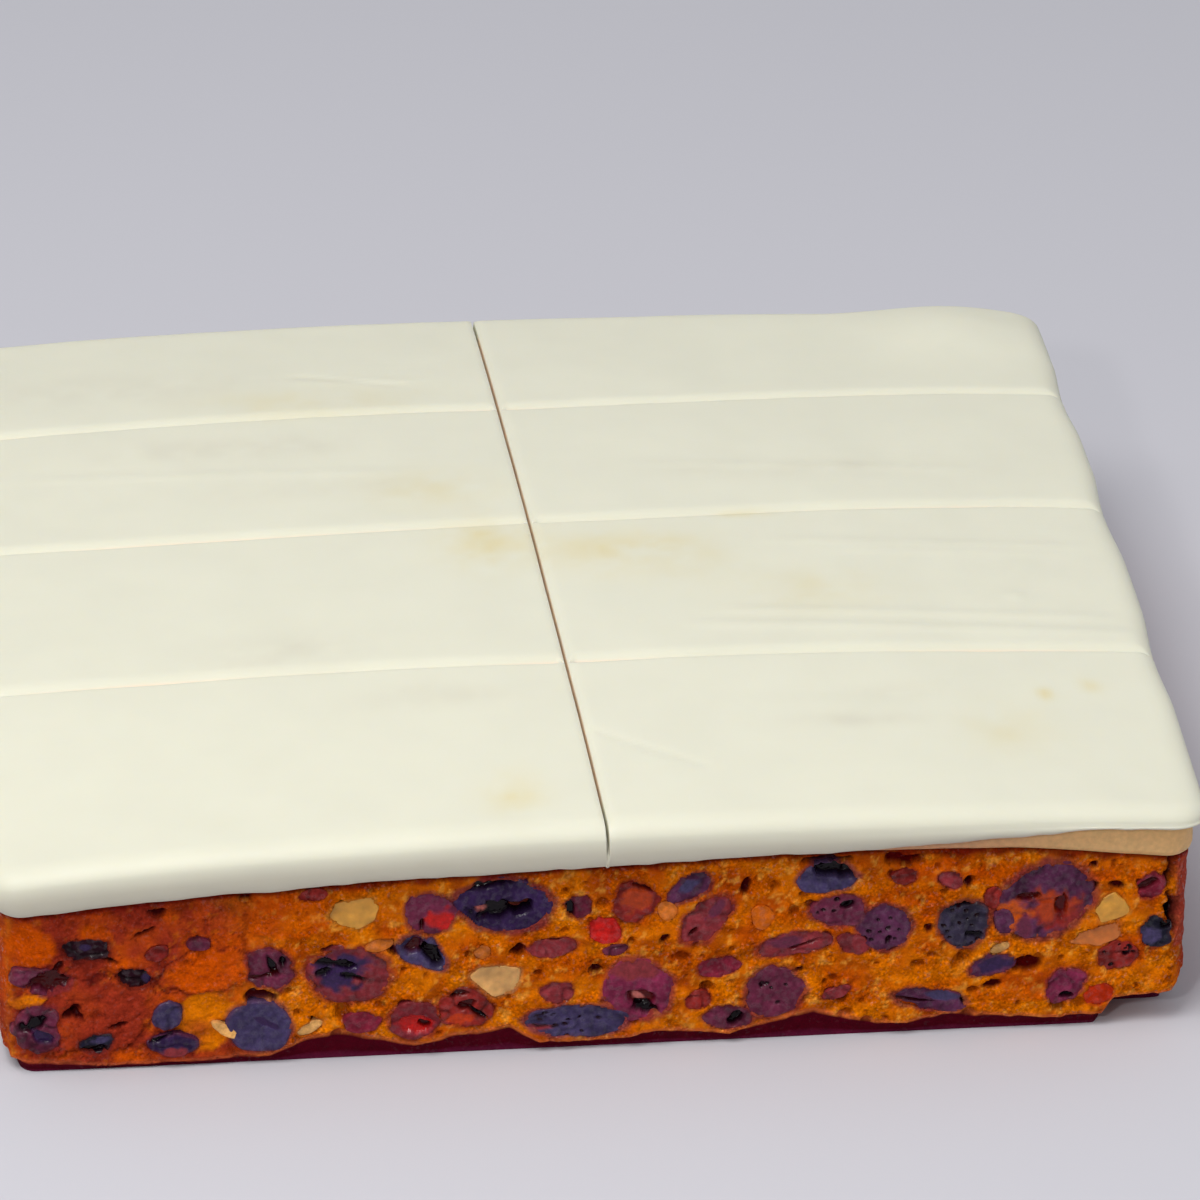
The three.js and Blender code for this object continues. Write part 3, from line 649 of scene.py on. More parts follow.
def drape(outline):
    """How far the icing hangs over the marzipan's edge."""
    drawn_back = np.where(outline["ny"] < 0, smooth_step(*DRAPE_END, outline["x"]), 0)
    return LEAST_DRAPE + (ICING_DRAPE - LEAST_DRAPE) * outline["ny"] ** 2 * (1 - drawn_back)


def icing_colours(points):
    """White on top with faint stains and smears, and painted shade low on the outside."""
    x, y = points[:, 0], points[:, 1]
    colours = np.broadcast_to(ICING_WHITE, points.shape)
    uneven = 1 + 0.9 * noise(points, 5, 77) + 0.4 * noise(points, 1.8, 78)
    for tone, marks in ((STAIN, STAINS), (GREY, SMEARS)):
        for middle_x, middle_y, along, across, strength in marks:
            away = ((x - middle_x) / along) ** 2 + ((y - middle_y) / across) ** 2
            colours = blend(colours, tone, np.clip(strength * np.exp(-away) * uneven, 0, 1))
    below = slab_height(x, y) - points[:, 2]
    outside = smooth_step(0.88, 0.93, np.maximum(np.abs(x) / HALF_WIDTH, np.abs(y) / HALF_DEPTH))
    colours = blend(colours, SLOT, (1 - outside) * smooth_step(0.6, 1.2, below))
    # Painted shade: duller low on the outside, where less light falls.
    return blend(colours, ICING_PAINTED_SHADE, 0.9 * outside * smooth_step(1.6, 5.0, below))


def make_icing():
    lines_x = icing_lines(HALF_WIDTH, (0.0,), ICING_SPACING)
    lines_y = icing_lines(HALF_DEPTH, CROSS_CUTS, ICING_SPACING)
    grid_x, grid_y = np.meshgrid(lines_x, lines_y)
    shape = Shape()
    top_points = icing_places(grid_x, grid_y)
    top = shape.add(top_points).reshape(grid_x.shape)
    quads = np.stack([top[:-1, :-1], top[:-1, 1:], top[1:, 1:], top[1:, :-1]], axis=-1)
    shape.faces += quads.reshape(-1, 4).tolist()

    border = np.concatenate([top[0], top[1:, -1], top[-1, -2::-1], top[-2:0:-1, 0]])
    outline = around_edge(lines_x, lines_x, lines_y)
    edge = top_points.reshape(-1, 3)[border]
    hang = drape(outline)
    wavy = 0.3 * noise(edge, 9, 51) + 0.12 * noise(edge, 2.5, 52)
    low = icing_underside(edge[:, 0], edge[:, 1]) - hang + wavy * np.abs(outline["ny"])

    def wall_ring(height, inset):
        x = edge[:, 0] - outline["nx"] * inset
        y = edge[:, 1] - outline["ny"] * inset
        return shape.add(np.stack([x, y, height], axis=1))

    def hidden_ring(layer, drop, share=1):
        x, y = layer_ring(outline, layer, share=share)
        return shape.add(np.stack([x, y, icing_underside(x, y) - drop], axis=1))

    rings = [hidden_ring("cake", 0, share) for share in HIDDEN_SHARES]
    rings += [hidden_ring("skirt", 0), hidden_ring("skirt", hang - wavy * np.abs(outline["ny"]))]
    for height, inset in RIM_RINGS:
        rings.append(wall_ring(low + height, inset))
    for share in (0.15, 0.35, 0.55, 0.75, 0.9):
        height = low + RIM_HEIGHT + (edge[:, 2] - low - RIM_HEIGHT) * share
        rings.append(wall_ring(height, -ICING_BELLY * math.sin(math.pi * share)))
    rings.append(border)
    shape.skin(rings)
    middle = shape.add([[0, 0, icing_underside(0, 0)]])[0]
    shape.close_below(middle, rings[0])
    shape.colours = [icing_colours(np.concatenate(shape.points))]
    piece = shape.make("icing_fine", icing)
    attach(piece, "root")
    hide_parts("icing")


# ---------------------------------------------------------------- marzipan

MARZIPAN_GOLD = srgb(224, 178, 116)
# Painted shade: a darker, redder tone for the marzipan's front, under the icing's hanging edge.
MARZIPAN_PAINTED_SHADE = srgb(198, 142, 104)


def make_marzipan():
    outline = around_edge(
        even_lines(HALF_WIDTH, 1.1), even_lines(HALF_WIDTH, 1.1), even_lines(HALF_DEPTH, 1.3)
    )
    shape = Shape()

    def flat_ring(layer, height, inset=0, share=1):
        x, y = layer_ring(outline, layer, inset, share)
        return shape.add(np.stack([x, y, height(x, y)], axis=1))

    rings = [flat_ring("cake", marzipan_underside, share=share) for share in HIDDEN_SHARES]
    rings.append(flat_ring("marzipan", marzipan_underside, inset=0.7))
    x, y = layer_ring(outline, "marzipan")
    for share in (0, 0.15, 0.35, 0.55, 0.75, 0.92, 1):
        low = marzipan_underside(x, y)
        z = low + (marzipan_top(x, y) - low) * share
        place = np.stack([x, y, z], axis=1)
        inset = 0.12 + 0.15 * noise(place, 3, 61) + 0.3 * (2 * share - 1) ** 6
        place[:, 0] -= outline["nx"] * inset
        place[:, 1] -= outline["ny"] * inset
        rings.append(shape.add(place))
    rings += [flat_ring("cake", marzipan_top, share=share) for share in HIDDEN_SHARES[::-1]]
    shape.skin(rings)
    bottom, top = shape.add([[0, 0, marzipan_underside(0, 0)], [0, 0, marzipan_top(0, 0)]])
    shape.close_below(bottom, rings[0])
    shape.close_above(top, rings[-1])
    points = np.concatenate(shape.points)
    # Painted shade: darker and redder towards the middle, where the icing hangs lower over the marzipan's
    # edge.
    pink = (1 - smooth_step(55, 85, points[:, 0])) * smooth_step(0, 40, points[:, 0])
    shape.colours = [blend(MARZIPAN_GOLD, MARZIPAN_PAINTED_SHADE, 0.8 * pink)]
    piece = shape.make("marzipan_fine", marzipan)
    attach(piece, "root")
    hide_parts("marzipan")


# ---------------------------------------------------------------- cut fruit

TONES = {
    # black, pit, maroon and dark_red are mostly painted shade: they darken hollows and pits in the fruit,
    # over its own dark flesh, and holes, cracks and ledges in the crumb.
    "black": srgb(12, 2, 8),
    "pit": srgb(40, 8, 22),
    "navy": srgb(50, 30, 70),
    "blue_grey": srgb(66, 56, 92),
    "blue_black": srgb(26, 24, 40),
    "green_black": srgb(52, 45, 64),
    "purple": srgb(102, 38, 62),
    "plum": srgb(128, 40, 72),
    "mauve": srgb(134, 46, 52),
    "brown_purple": srgb(134, 36, 32),
    "brown": srgb(166, 56, 18),
    "maroon": srgb(70, 10, 12),
    "dark_red": srgb(86, 6, 8),
    "red": srgb(188, 26, 22),
    "magenta": srgb(126, 32, 52),
    "pink_purple": srgb(128, 40, 48),
    "pink": srgb(214, 120, 110),
    "orange_red": srgb(184, 54, 14),
    "crumb": srgb(186, 76, 12),
    "peel": srgb(196, 46, 2),
    "gold": srgb(208, 100, 10),
    "pale_gold": srgb(192, 104, 34),
    "cream": srgb(214, 160, 92),
    "almond": srgb(210, 148, 50),
    "dusk": srgb(86, 40, 70),
    "wine": srgb(92, 28, 46),
}


def hollow(u, v, half_u, half_v, tilt=0, tone="black", depth=1.0):
    """A hollow in a piece: its middle and half sizes as shares of the piece's own half sizes."""
    return {"at": (u, v), "half": (half_u, half_v), "tilt": tilt, "tone": tone, "depth": depth}


def patch(u, v, half_u, half_v, tilt=0, tone="red"):
    return hollow(u, v, half_u, half_v, tilt, tone, 0.08)


def look(tone, *marks, sunk=0.0, ragged=0.05, folds=0.5, specks=0, skin=0.4):
    """How a piece looks: how far it lies behind the wall, how ragged its outline is, and so on."""
    return {
        "tone": tone,
        "marks": marks,
        "sunk": sunk,
        "ragged": ragged,
        "folds": folds,
        "specks": specks,
        "skin": skin,
    }


LOOKS = {
    # Painted highlight: raisin_01's navy hollow on its lower right is the bluish sheen of its wet skin.
    "raisin_01": look(
        "purple", hollow(0.0, 0.3, 0.6, 0.3, 25), hollow(0.2, -0.3, 0.4, 0.28, -30, "navy"),
        ragged=0.14, folds=1.0,
    ),
    "raisin_02": look(
        "purple", hollow(0.4, 0.1, 0.85, 0.75, 12, "maroon", 1.4), hollow(0.9, 0.5, 0.4, 0.3, 30),
        ragged=0.2, sunk=0.4, folds=0.7,
    ),
    # Painted highlights: the navy and blue-grey patches of raisin_03, raisin_04 and raisin_05 are the bluish
    # sheen of their wet skins.
    "raisin_03": look("pit", patch(-0.05, 0.1, 0.2, 0.3, 0, "navy"), sunk=1.0, ragged=0.24, folds=1.0),
    "raisin_04": look(
        "blue_black", patch(0.25, 0.35, 0.6, 0.3, 10, "blue_grey"), hollow(-0.2, -0.35, 0.8, 0.3, 8),
        sunk=0.5, ragged=0.14, folds=0.6,
    ),
    "raisin_05": look("pit", patch(0.55, -0.1, 0.3, 0.4, 0, "navy"), sunk=1.1, ragged=0.24, folds=1.0),
    "raisin_06": look(
        "navy", patch(0.0, -0.85, 0.55, 0.6, 0, "mauve"), hollow(-0.5, 0.5, 0.4, 0.2, 20),
        ragged=0.1, folds=0.6,
    ),
    "raisin_07": look(
        "blue_grey", patch(0.2, 0.1, 0.5, 0.12, -30, "navy"), ragged=0.02, folds=0.15, skin=0.25,
    ),
    "raisin_08": look(
        "purple", hollow(0.1, 0.1, 0.14, 0.5, 20), hollow(-0.2, -0.3, 0.6, 0.1, 5, "maroon", 0.6),
        hollow(0.5, 0.3, 0.16, 0.3, 10, "black", 0.7), ragged=0.12, folds=1.0,
    ),
    "raisin_09": look(
        "mauve", patch(-0.15, 0.1, 0.62, 0.62, -5, "navy"), hollow(-0.3, 0.35, 0.55, 0.14, -14),
        hollow(0.1, -0.1, 0.4, 0.12, -18), hollow(-0.55, 0.1, 0.22, 0.14, 20), ragged=0.07, folds=1.0,
    ),
    "raisin_10": look(
        "blue_grey", hollow(-0.35, 0.3, 0.4, 0.5, -40, "maroon", 1.2),
        hollow(0.3, -0.2, 0.5, 0.4, -50, "black", 1.5), ragged=0.1, folds=0.8, skin=0.2,
    ),
    "raisin_11": look(
        "brown_purple", hollow(-0.4, 0.65, 0.4, 0.16, 0, "maroon"), hollow(0.0, 0.1, 0.3, 0.22, 20, "maroon"),
        hollow(0.35, -0.3, 0.35, 0.14, -35), patch(-0.2, -0.5, 0.5, 0.25, 0, "orange_red"),
        ragged=0.09, folds=1.0, skin=0.5,
    ),
    "raisin_12": look(
        "navy", hollow(-0.1, -0.15, 0.55, 0.36, 4, "black", 1.9),
        hollow(0.3, -0.1, 0.25, 0.2, 20, "black", 1.6),
        hollow(-0.45, 0.7, 0.7, 0.16, 8, "black", 1.2), patch(-0.42, -0.15, 0.1, 0.2, 30, "pink"),
        ragged=0.03, folds=0.35, skin=0.3,
    ),
    "raisin_13": look("mauve", hollow(0.0, 0.85, 0.3, 0.2, 0, "maroon", 0.5), ragged=0.08, folds=0.5),
    "raisin_14": look(
        "blue_grey", patch(-0.7, -0.3, 0.25, 0.2, 0, "mauve"), ragged=0.06, specks=16, skin=0.2,
    ),
    "raisin_15": look("wine", hollow(-0.6, -0.1, 0.35, 0.8, 0), ragged=0.16, folds=0.4),
    "raisin_16": look(
        "brown_purple", patch(0.0, 0.05, 0.55, 0.5, 15, "brown"), hollow(0.3, 0.6, 0.5, 0.14, -20, "maroon"),
        ragged=0.12, folds=1.0,
    ),
    "raisin_17": look(
        "plum", hollow(0.1, -0.25, 0.34, 0.26, -15, "dark_red", 1.4),
        patch(0.02, -0.28, 0.16, 0.12, -30, "pink"), hollow(0.25, -0.62, 0.4, 0.16, -15, "black", 1.4),
        patch(-0.1, 0.6, 0.8, 0.3, 0, "mauve"), ragged=0.06, folds=0.5, skin=0.2,
    ),
    "raisin_18": look("dusk", patch(0.1, 0.2, 0.5, 0.3, 30, "blue_grey"), ragged=0.14, folds=0.8),
    "raisin_19": look(
        "mauve", hollow(-0.45, -0.5, 0.3, 0.1, 50, "dark_red", 1.1), patch(0.3, 0.3, 0.4, 0.2, 50, "purple"),
        ragged=0.09, folds=0.9, skin=0.3,
    ),
    "raisin_20": look(
        "purple", hollow(0.3, -0.1, 0.28, 0.5, -30, "black", 1.6), ragged=0.05, folds=0.5, skin=0.7,
    ),
    "raisin_21": look("purple", ragged=0.07, folds=0.3, specks=7, skin=0.15),
    "raisin_22": look(
        "mauve", hollow(0.25, -0.1, 0.4, 0.14, 20, "dark_red", 0.7), patch(-0.1, 0.1, 0.5, 0.5, 0, "purple"),
        ragged=0.13, folds=0.7, skin=0.2,
    ),
    "raisin_23": look(
        "blue_grey", hollow(0.25, 0.45, 0.8, 0.5, -8, "black", 2.0), ragged=0.09, folds=0.7, skin=0.2,
    ),
    "raisin_24": look("purple", hollow(0.2, 0.3, 0.2, 0.2, 20), ragged=0.1, folds=0.6, specks=5),
    "raisin_25": look("dusk", ragged=0.04, folds=0.3, specks=12, skin=0.5),
    "raisin_26": look(
        "dusk", hollow(-0.55, -0.4, 0.45, 0.3, -20, "crumb", 0.7), hollow(-0.5, 0.1, 0.5, 0.12, -8, "maroon"),
        patch(0.2, 0.3, 0.4, 0.3, -10, "blue_grey"), hollow(0.8, -0.2, 0.14, 0.3, 0), ragged=0.09, folds=0.5,
    ),
    "raisin_27": look(
        "green_black", hollow(0.45, -0.4, 0.3, 0.2, -10), hollow(0.0, 0.85, 0.6, 0.14, 0, "black", 1.2),
        ragged=0.07, folds=0.9, specks=12, skin=0.5,
    ),
    "raisin_28": look(
        "dusk", patch(0.2, 0.1, 0.65, 0.55, 10, "navy"), patch(-0.75, -0.3, 0.3, 0.4, 0, "brown_purple"),
        ragged=0.1, folds=0.4,
    ),
    "raisin_29": look(
        "dusk", patch(0.22, -0.25, 0.6, 0.55, -25, "brown_purple"), patch(0.15, -0.1, 0.45, 0.4, 0, "brown"),
        patch(-0.7, -0.35, 0.5, 0.4, 10, "crumb"), patch(-0.35, -0.65, 0.16, 0.3, 0, "purple"),
        hollow(-0.3, 0.08, 0.22, 0.1, 5, "dark_red", 1.3),
        hollow(0.34, -0.18, 0.13, 0.36, -8, "dark_red", 1.3),
        ragged=0.07, folds=1.0, skin=0.5,
    ),
    "raisin_30": look("plum", hollow(0.1, -0.5, 0.3, 0.16, 0), ragged=0.2, folds=0.9),
    "raisin_31": look("brown_purple", ragged=0.12, folds=1.0, specks=9),
    "raisin_32": look(
        "blue_black", patch(-0.2, -0.15, 0.7, 0.6, 20, "blue_grey"), hollow(0.6, 0.4, 0.4, 0.3, 30),
        ragged=0.2, folds=0.6, skin=0.1,
    ),
    "raisin_33": look("magenta", hollow(-0.2, 0.1, 0.7, 0.3, 25, "maroon"), ragged=0.2, folds=0.8),
    "cherry_01": look("magenta", ragged=0.08, folds=0.2, skin=0.1),
    "cherry_02": look(
        "pink_purple", hollow(0.0, -0.25, 0.6, 0.36, -12, "red", 0.7),
        hollow(0.3, -0.3, 0.2, 0.14, -20, "maroon"),
        ragged=0.08, folds=0.4, skin=0.2,
    ),
    "cherry_03": look(
        "purple", patch(0.3, -0.35, 0.6, 0.5, 0, "red"), hollow(-0.3, -0.55, 0.1, 0.3, 0, "maroon"),
        ragged=0.08, folds=0.3, skin=0.1,
    ),
    "cherry_04": look("red", ragged=0.1, folds=0.3, skin=0.0),
    "cherry_05": look("magenta", ragged=0.12, folds=0.4, skin=0.1),
    "almond_01": look("almond", ragged=0.03, folds=0.0, skin=0.1),
    "almond_02": look("cream", ragged=0.03, folds=0.0, skin=0.0),
    "almond_03": look("almond", ragged=0.05, folds=0.0, skin=0.0),
    "almond_04": look("pale_gold", ragged=0.08, folds=0.2, skin=0.0),
    "peel_01": look("peel", ragged=0.05, folds=0.2, skin=0.2),
}
OTHER_TONES = {
    "raisin": ("purple", "navy", "brown_purple", "blue_grey", "mauve"),
    "cherry": ("magenta", "red"),
    "almond": ("almond", "cream"),
    "peel": ("peel",),
}

# Pieces too small to be solids of their own, in the cut face: middle along X, height, size along X,
# height, tilt in degrees and tone.
SMALL_PIECES = (
    (-72.1, 10.0, 4.8, 4.7, 30, "blue_grey"),
    (-7.1, 11.4, 5.0, 4.0, 0, "mauve"),
    (-47.6, 31.7, 5.0, 2.0, 5, "brown_purple"),
    (-66.6, 23.3, 4.6, 2.4, 0, "purple"),
    (-73.5, 21.9, 4.0, 2.6, 15, "brown_purple"),
    (16.3, 8.7, 5.0, 3.2, 0, "brown_purple"),
    (39.5, 8.7, 5.0, 2.4, 20, "mauve"),
    (50.8, 30.3, 4.0, 2.8, 0, "brown_purple"),
    (58.5, 29.3, 4.6, 2.8, -30, "mauve"),
    (42.3, 18.1, 5.6, 3.8, -30, "mauve"),
    (67.8, 20.7, 3.2, 5.4, 10, "dusk"),
    (65.8, 25.7, 3.2, 4.0, -10, "brown_purple"),
    (2.8, 18.9, 4.4, 2.0, 10, "purple"),
    (-19.7, 19.5, 2.6, 2.6, 0, "pale_gold"),
    (-37.0, 21.7, 4.2, 2.0, 15, "pale_gold"),
    (-62.5, 6.9, 5.0, 1.6, -35, "cream"),
    (-48.6, 6.7, 4.2, 1.6, 25, "cream"),
    (11.0, 25.9, 3.0, 3.2, 30, "pale_gold"),
    (26.8, 23.9, 3.4, 4.6, 20, "gold"),
    (67.0, 15.9, 3.4, 1.6, 20, "cream"),
)

SMALL_RAGGED = 0.16  # how ragged their outlines are

BACK_PIECES = 34  # seeded smaller pieces in the back and end walls
BACK_RAGGED = 0.14
BACK_CLEARANCE = 0.6  # they keep this share of their width clear of other pieces
BACK_END_SHARE = 0.25  # of them are in an end wall
BACK_TONES = (
    "purple", "dusk", "navy", "brown_purple", "blue_grey", "mauve", "wine", "magenta", "cream", "gold",
)

# Holes and cracks in the cut face's crumb: middle along X, height, size along X, height, tilt in
# degrees, depth and tone; the tone is painted shade in them.
HOLES = (
    (71.9, 12.6, 4.6, 2.6, 15, 1.8, "dark_red"),
    (50.6, 33.5, 6.0, 2.0, 0, 1.6, "dark_red"),
    (-14.0, 19.5, 2.4, 2.6, 20, 1.4, "maroon"),
    (-56.5, 12.9, 6.4, 2.2, 0, 1.6, "maroon"),
    (-73.2, 29.3, 2.6, 1.6, 0, 1.4, "maroon"),
    (-87.8, 11.6, 3.2, 1.6, 40, 1.3, "maroon"),
    (-87.0, 10.9, 2.8, 1.2, -40, 1.3, "maroon"),
    (-75.2, 25.9, 4.6, 0.7, 20, 1.2, "maroon"),
    (-90.0, 19.7, 3.4, 1.2, 50, 1.4, "maroon"),
    (-81.6, 21.1, 3.6, 1.0, -25, 1.2, "black"),
    (96.7, 21.1, 2.6, 6.4, 5, 2.4, "black"),
    (96.0, 28.5, 1.9, 9.4, -4, 2.2, "maroon"),
    (-59.2, 31.9, 2.4, 1.1, 0, 1.0, "maroon"),
    (61.4, 28.5, 1.8, 1.6, 0, 1.0, "maroon"),
    (82.6, 31.0, 1.6, 1.2, 30, 1.0, "maroon"),
    (86.6, 26.8, 2.2, 1.2, -20, 1.0, "maroon"),
    (66.0, 9.0, 2.6, 1.2, 10, 1.0, "maroon"),
    (33.5, 13.5, 1.6, 1.2, 0, 0.9, "maroon"),
    (24.0, 29.8, 1.8, 3.4, -15, 1.1, "maroon"),
    (-20.4, 32.2, 1.4, 1.0, 0, 1.0, "maroon"),
    (10.8, 20.6, 2.0, 1.0, 35, 1.0, "maroon"),
    (-45.4, 21.4, 2.6, 0.9, 10, 1.0, "maroon"),
    (-47.4, 7.7, 2.6, 0.9, -50, 1.2, "maroon"),
    (-80.4, 8.5, 3.0, 0.7, 20, 0.9, "maroon"),
    (37.4, 33.9, 7.0, 1.6, 0, 1.6, "black"),
    (16.6, 26.5, 1.4, 1.4, 0, 1.0, "maroon"),
    (-1.0, 15.3, 2.0, 1.6, 0, 1.2, "maroon"),
    (82.0, 26.7, 2.2, 1.4, 20, 1.1, "maroon"),
    (55.0, 20.3, 1.6, 1.6, 0, 1.0, "maroon"),
    (-35.0, 20.9, 3.6, 1.0, -40, 1.2, "maroon"),
)

ANGLES = np.linspace(0, 2 * math.pi, 96, endpoint=False)
CUT_LEVEL = -0.22  # where a piece's cut side lies, out from the wall
OVERLAP = 1.06  # a piece's outline runs this much further out, under the crumb
BED_DEPTH = 3.0  # how deep the crumb is hollowed out behind a piece
PIECE_DEPTH = 3.4  # how far a piece reaches in from the wall
PIECE_NARROWING = {"depth": 2.4, "share": 0.8}  # beyond this depth its sides run inwards, to this share
SLICE_ROUGHNESS = 0.14
RIM_FALL = 0.6  # how far a cut side falls off at its rim
FOLD_DEPTH = 0.3
WALL_REACH = 5.0  # a slice belongs to the points within this distance of its wall
FAR_OUT = 9.0  # what share_out gives for all others


class Slice:
    """The outline of a sliced piece, or of a hole, on one of the cake's walls."""

    def __init__(self, centre, right, radii, ragged=0.0, seed=0):
        self.centre = np.asarray(centre, float)
        self.right = np.asarray(right, float)
        self.out = np.array([self.right[1], -self.right[0], 0])
        round_places = np.stack([radii * np.cos(ANGLES), radii * np.sin(ANGLES), 0 * ANGLES], axis=1)
        wobble = noise(round_places, 3.2, seed) + 0.5 * noise(round_places, 1.3, seed + 1)
        wobble += 0.2 * noise(round_places, 0.6, seed + 2)
        self.radii = OVERLAP * radii + (0.1 + 5 * ragged) * wobble * np.minimum(1, radii / 4)

    def radius_at(self, angle):
        return np.interp(angle % (2 * math.pi), ANGLES, self.radii, period=2 * math.pi)

    def share_out(self, points):
        """How far out each point lies: 0 at the middle, 1 at the outline, and more beyond it."""
        offset = points - self.centre
        along = offset @ self.right
        up = offset[..., 2]
        away = np.hypot(along, up) / self.radius_at(np.arctan2(up, along))
        return np.where(np.abs(offset @ self.out) < WALL_REACH, away, FAR_OUT)


def front_place(x, z):
    """A place on the cut face."""
    _, half_depth = LAYER_SIZES["cake"]
    place_x, place_y = hand_cut(x / (1 - WIDENING), -half_depth)
    return np.array([place_x, place_y, z])


def ellipse_radii(width, height, tilt):
    angle = ANGLES - math.radians(tilt)
    return 1 / np.hypot(np.cos(angle) * 2 / width, np.sin(angle) * 2 / height)


def front_slice(x, z, width, height, tilt, ragged=0.0, seed=0):
    """An ellipse on the cut face, with a ragged outline."""
    return Slice(front_place(x, z), (1, 0, 0), ellipse_radii(width, height, tilt), ragged, seed)


def wall_frame(middle):
    """The place on the nearest wall, and the way to the right along it."""
    half_width, half_depth = LAYER_SIZES["cake"]
    if abs(middle[1]) > half_depth - 10:
        sign = np.sign(middle[1])
        ends = [hand_cut(middle[0] + step * sign, sign * half_depth) for step in (3, -3)]
    else:
        sign = np.sign(middle[0])
        ends = [hand_cut(sign * half_width, middle[1] + step * sign) for step in (-3, 3)]
    start, end = np.array(ends, float)
    right = np.append((end - start) / np.hypot(*(end - start)), 0)
    out = np.array([right[1], -right[0], 0])
    wall = np.append((start + end) / 2, middle[2])
    return middle + out * ((wall - middle) @ out), right


def slice_of(node, ragged, seed, corners):
    """The outline of one of the frame's sliced pieces, from its own solid."""
    points = np.array([vertex.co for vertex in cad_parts[node].data.vertices]) / MM
    middle = (points.min(axis=0) + points.max(axis=0)) / 2
    centre, right = wall_frame(middle)
    offset = points - centre
    along, up = offset @ right, offset[:, 2]
    reach = np.max(np.outer(np.cos(ANGLES), along) + np.outer(np.sin(ANGLES), up), axis=1)
    turn = np.cos(ANGLES[:, None] - ANGLES[None, :])
    radii = np.min(np.where(turn > 0.15, reach[None, :] / np.maximum(turn, 0.15), 1e9), axis=1)
    waves = np.fft.rfft(radii)
    waves[corners:] = 0
    return Slice(centre, right, np.fft.irfft(waves, len(ANGLES)), ragged, seed)


FACE_SHARES = np.concatenate([np.linspace(0.05, 0.85, 17), [0.89, 0.925, 0.955, 0.98, 1.0]])


def crease(points, size, seed):
    """1 along the creases between soft folds and 0 on the folds."""
    return bell(noise(points, size, seed), 0.16)


def speckle(count, width, height, seed):
    """Seeded small pits all over a piece, darkened with painted shade."""
    random = np.random.default_rng(seed)
    specks = []
    for _ in range(count):
        distance, angle = 0.8 * math.sqrt(random.random()), random.uniform(0, 2 * math.pi)
        size = random.uniform(0.25, 0.55)
        place = (distance * math.cos(angle), distance * math.sin(angle))
        half = (size / width, 0.7 * size / height)
        specks.append(hollow(*place, *half, random.uniform(-40, 40), "pit", 0.5))
    return specks


def inside_mark(mark, along, up, width, height, uneven):
    """1 inside a hollow or a patch and 0 outside it, with an uneven edge."""
    turn = math.radians(mark["tilt"])
    du, dv = along - mark["at"][0] * width, up - mark["at"][1] * height
    across = (du * math.cos(turn) + dv * math.sin(turn)) / (mark["half"][0] * width)
    above = (dv * math.cos(turn) - du * math.sin(turn)) / (mark["half"][1] * height)
    return 1 - smooth_step(0.65, 1.15, np.hypot(across, above) + uneven)


def cut_side(cut, seed, looks):
    """A piece's cut side with its folds and hollows, from its middle outwards: points, colours, shine."""
    tone = TONES[looks["tone"]]
    width = np.max(cut.radii * np.abs(np.cos(ANGLES)))
    height = np.max(cut.radii * np.abs(np.sin(ANGLES)))
    rings = FACE_SHARES[:, None] * cut.radii
    along = np.concatenate([[0], (rings * np.cos(ANGLES)).ravel()])
    up = np.concatenate([[0], (rings * np.sin(ANGLES)).ravel()])
    share = np.concatenate([[0], np.repeat(FACE_SHARES, len(ANGLES))])
    from_rim = np.concatenate([[width], ((1 - FACE_SHARES)[:, None] * cut.radii).ravel()])
    flat = cut.centre + along[:, None] * cut.right + up[:, None] * np.array([0, 0, 1.0])

    level = CUT_LEVEL - looks["sunk"] + SLICE_ROUGHNESS * rough(flat, 2.4, seed + 7)
    level -= RIM_FALL * smooth_step(0.93, 1.0, share) ** 2
    folded = looks["folds"] * crease(flat, 2.6, seed + 9)
    level -= FOLD_DEPTH * folded
    # Painted shade in the creases between the folds, on top of a random change of tone.
    shade = (1 + 0.3 * rough(flat, 3.2, seed + 17)) * (1 - 0.5 * folded)
    colours = tone * np.clip(shade, 0.25, 1.8)[:, None]
    rim = looks["skin"] * (1 - smooth_step(0.15, 0.85, from_rim + 0.2 * noise(flat, 1.5, seed + 3)))
    colours = blend(colours, 0.25 * tone + 0.3 * TONES["brown"], rim)
    shine = np.zeros(len(flat))

    marks = [*looks["marks"], *speckle(looks["specks"], width, height, seed)]
    uneven = 0.42 * noise(flat, 1.7, seed + 29) + 0.25 * noise(flat, 0.75, seed + 30)
    # Hollows are sunk in and take their mark's tone; their dark tones are painted shade over the fruit's own
    # dark flesh.
    for mark in marks:
        inside = inside_mark(mark, along, up, width, height, uneven)
        level -= mark["depth"] * inside
        colours = blend(colours, TONES[mark["tone"]], inside)
        shine = np.maximum(shine, inside)
    return flat + level[:, None] * cut.out, colours, shine


def add_slice(shape, cut, seed, looks):
    """Adds one sliced piece to a shape: its cut side, its rim and its hidden back."""
    # Painted shade: the piece's hidden sides and back are a darker copy of its tone.
    hidden_shaded_tone = 0.4 * TONES[looks["tone"]]
    points, colours, shine = cut_side(cut, seed, looks)
    numbers = shape.add(points, colours, shine)
    loops = [*numbers[1:].reshape(len(FACE_SHARES), len(ANGLES))]
    shape.close_above(numbers[0], loops[0])
    edge = points[-len(ANGLES):]
    flat_edge = edge - np.outer((edge - cut.centre) @ cut.out, cut.out)
    for inward, depth in ((1.0, PIECE_NARROWING["depth"]), (PIECE_NARROWING["share"], PIECE_DEPTH)):
        ring = cut.centre + (flat_edge - cut.centre) * inward - cut.out * depth
        loops.append(shape.add(ring, hidden_shaded_tone))
    for inner, outer in zip(loops[:-1], loops[1:]):
        shape.band(outer, inner)
    back = shape.add([cut.centre - cut.out * PIECE_DEPTH], hidden_shaded_tone)[0]
    shape.close_below(back, loops[-1])


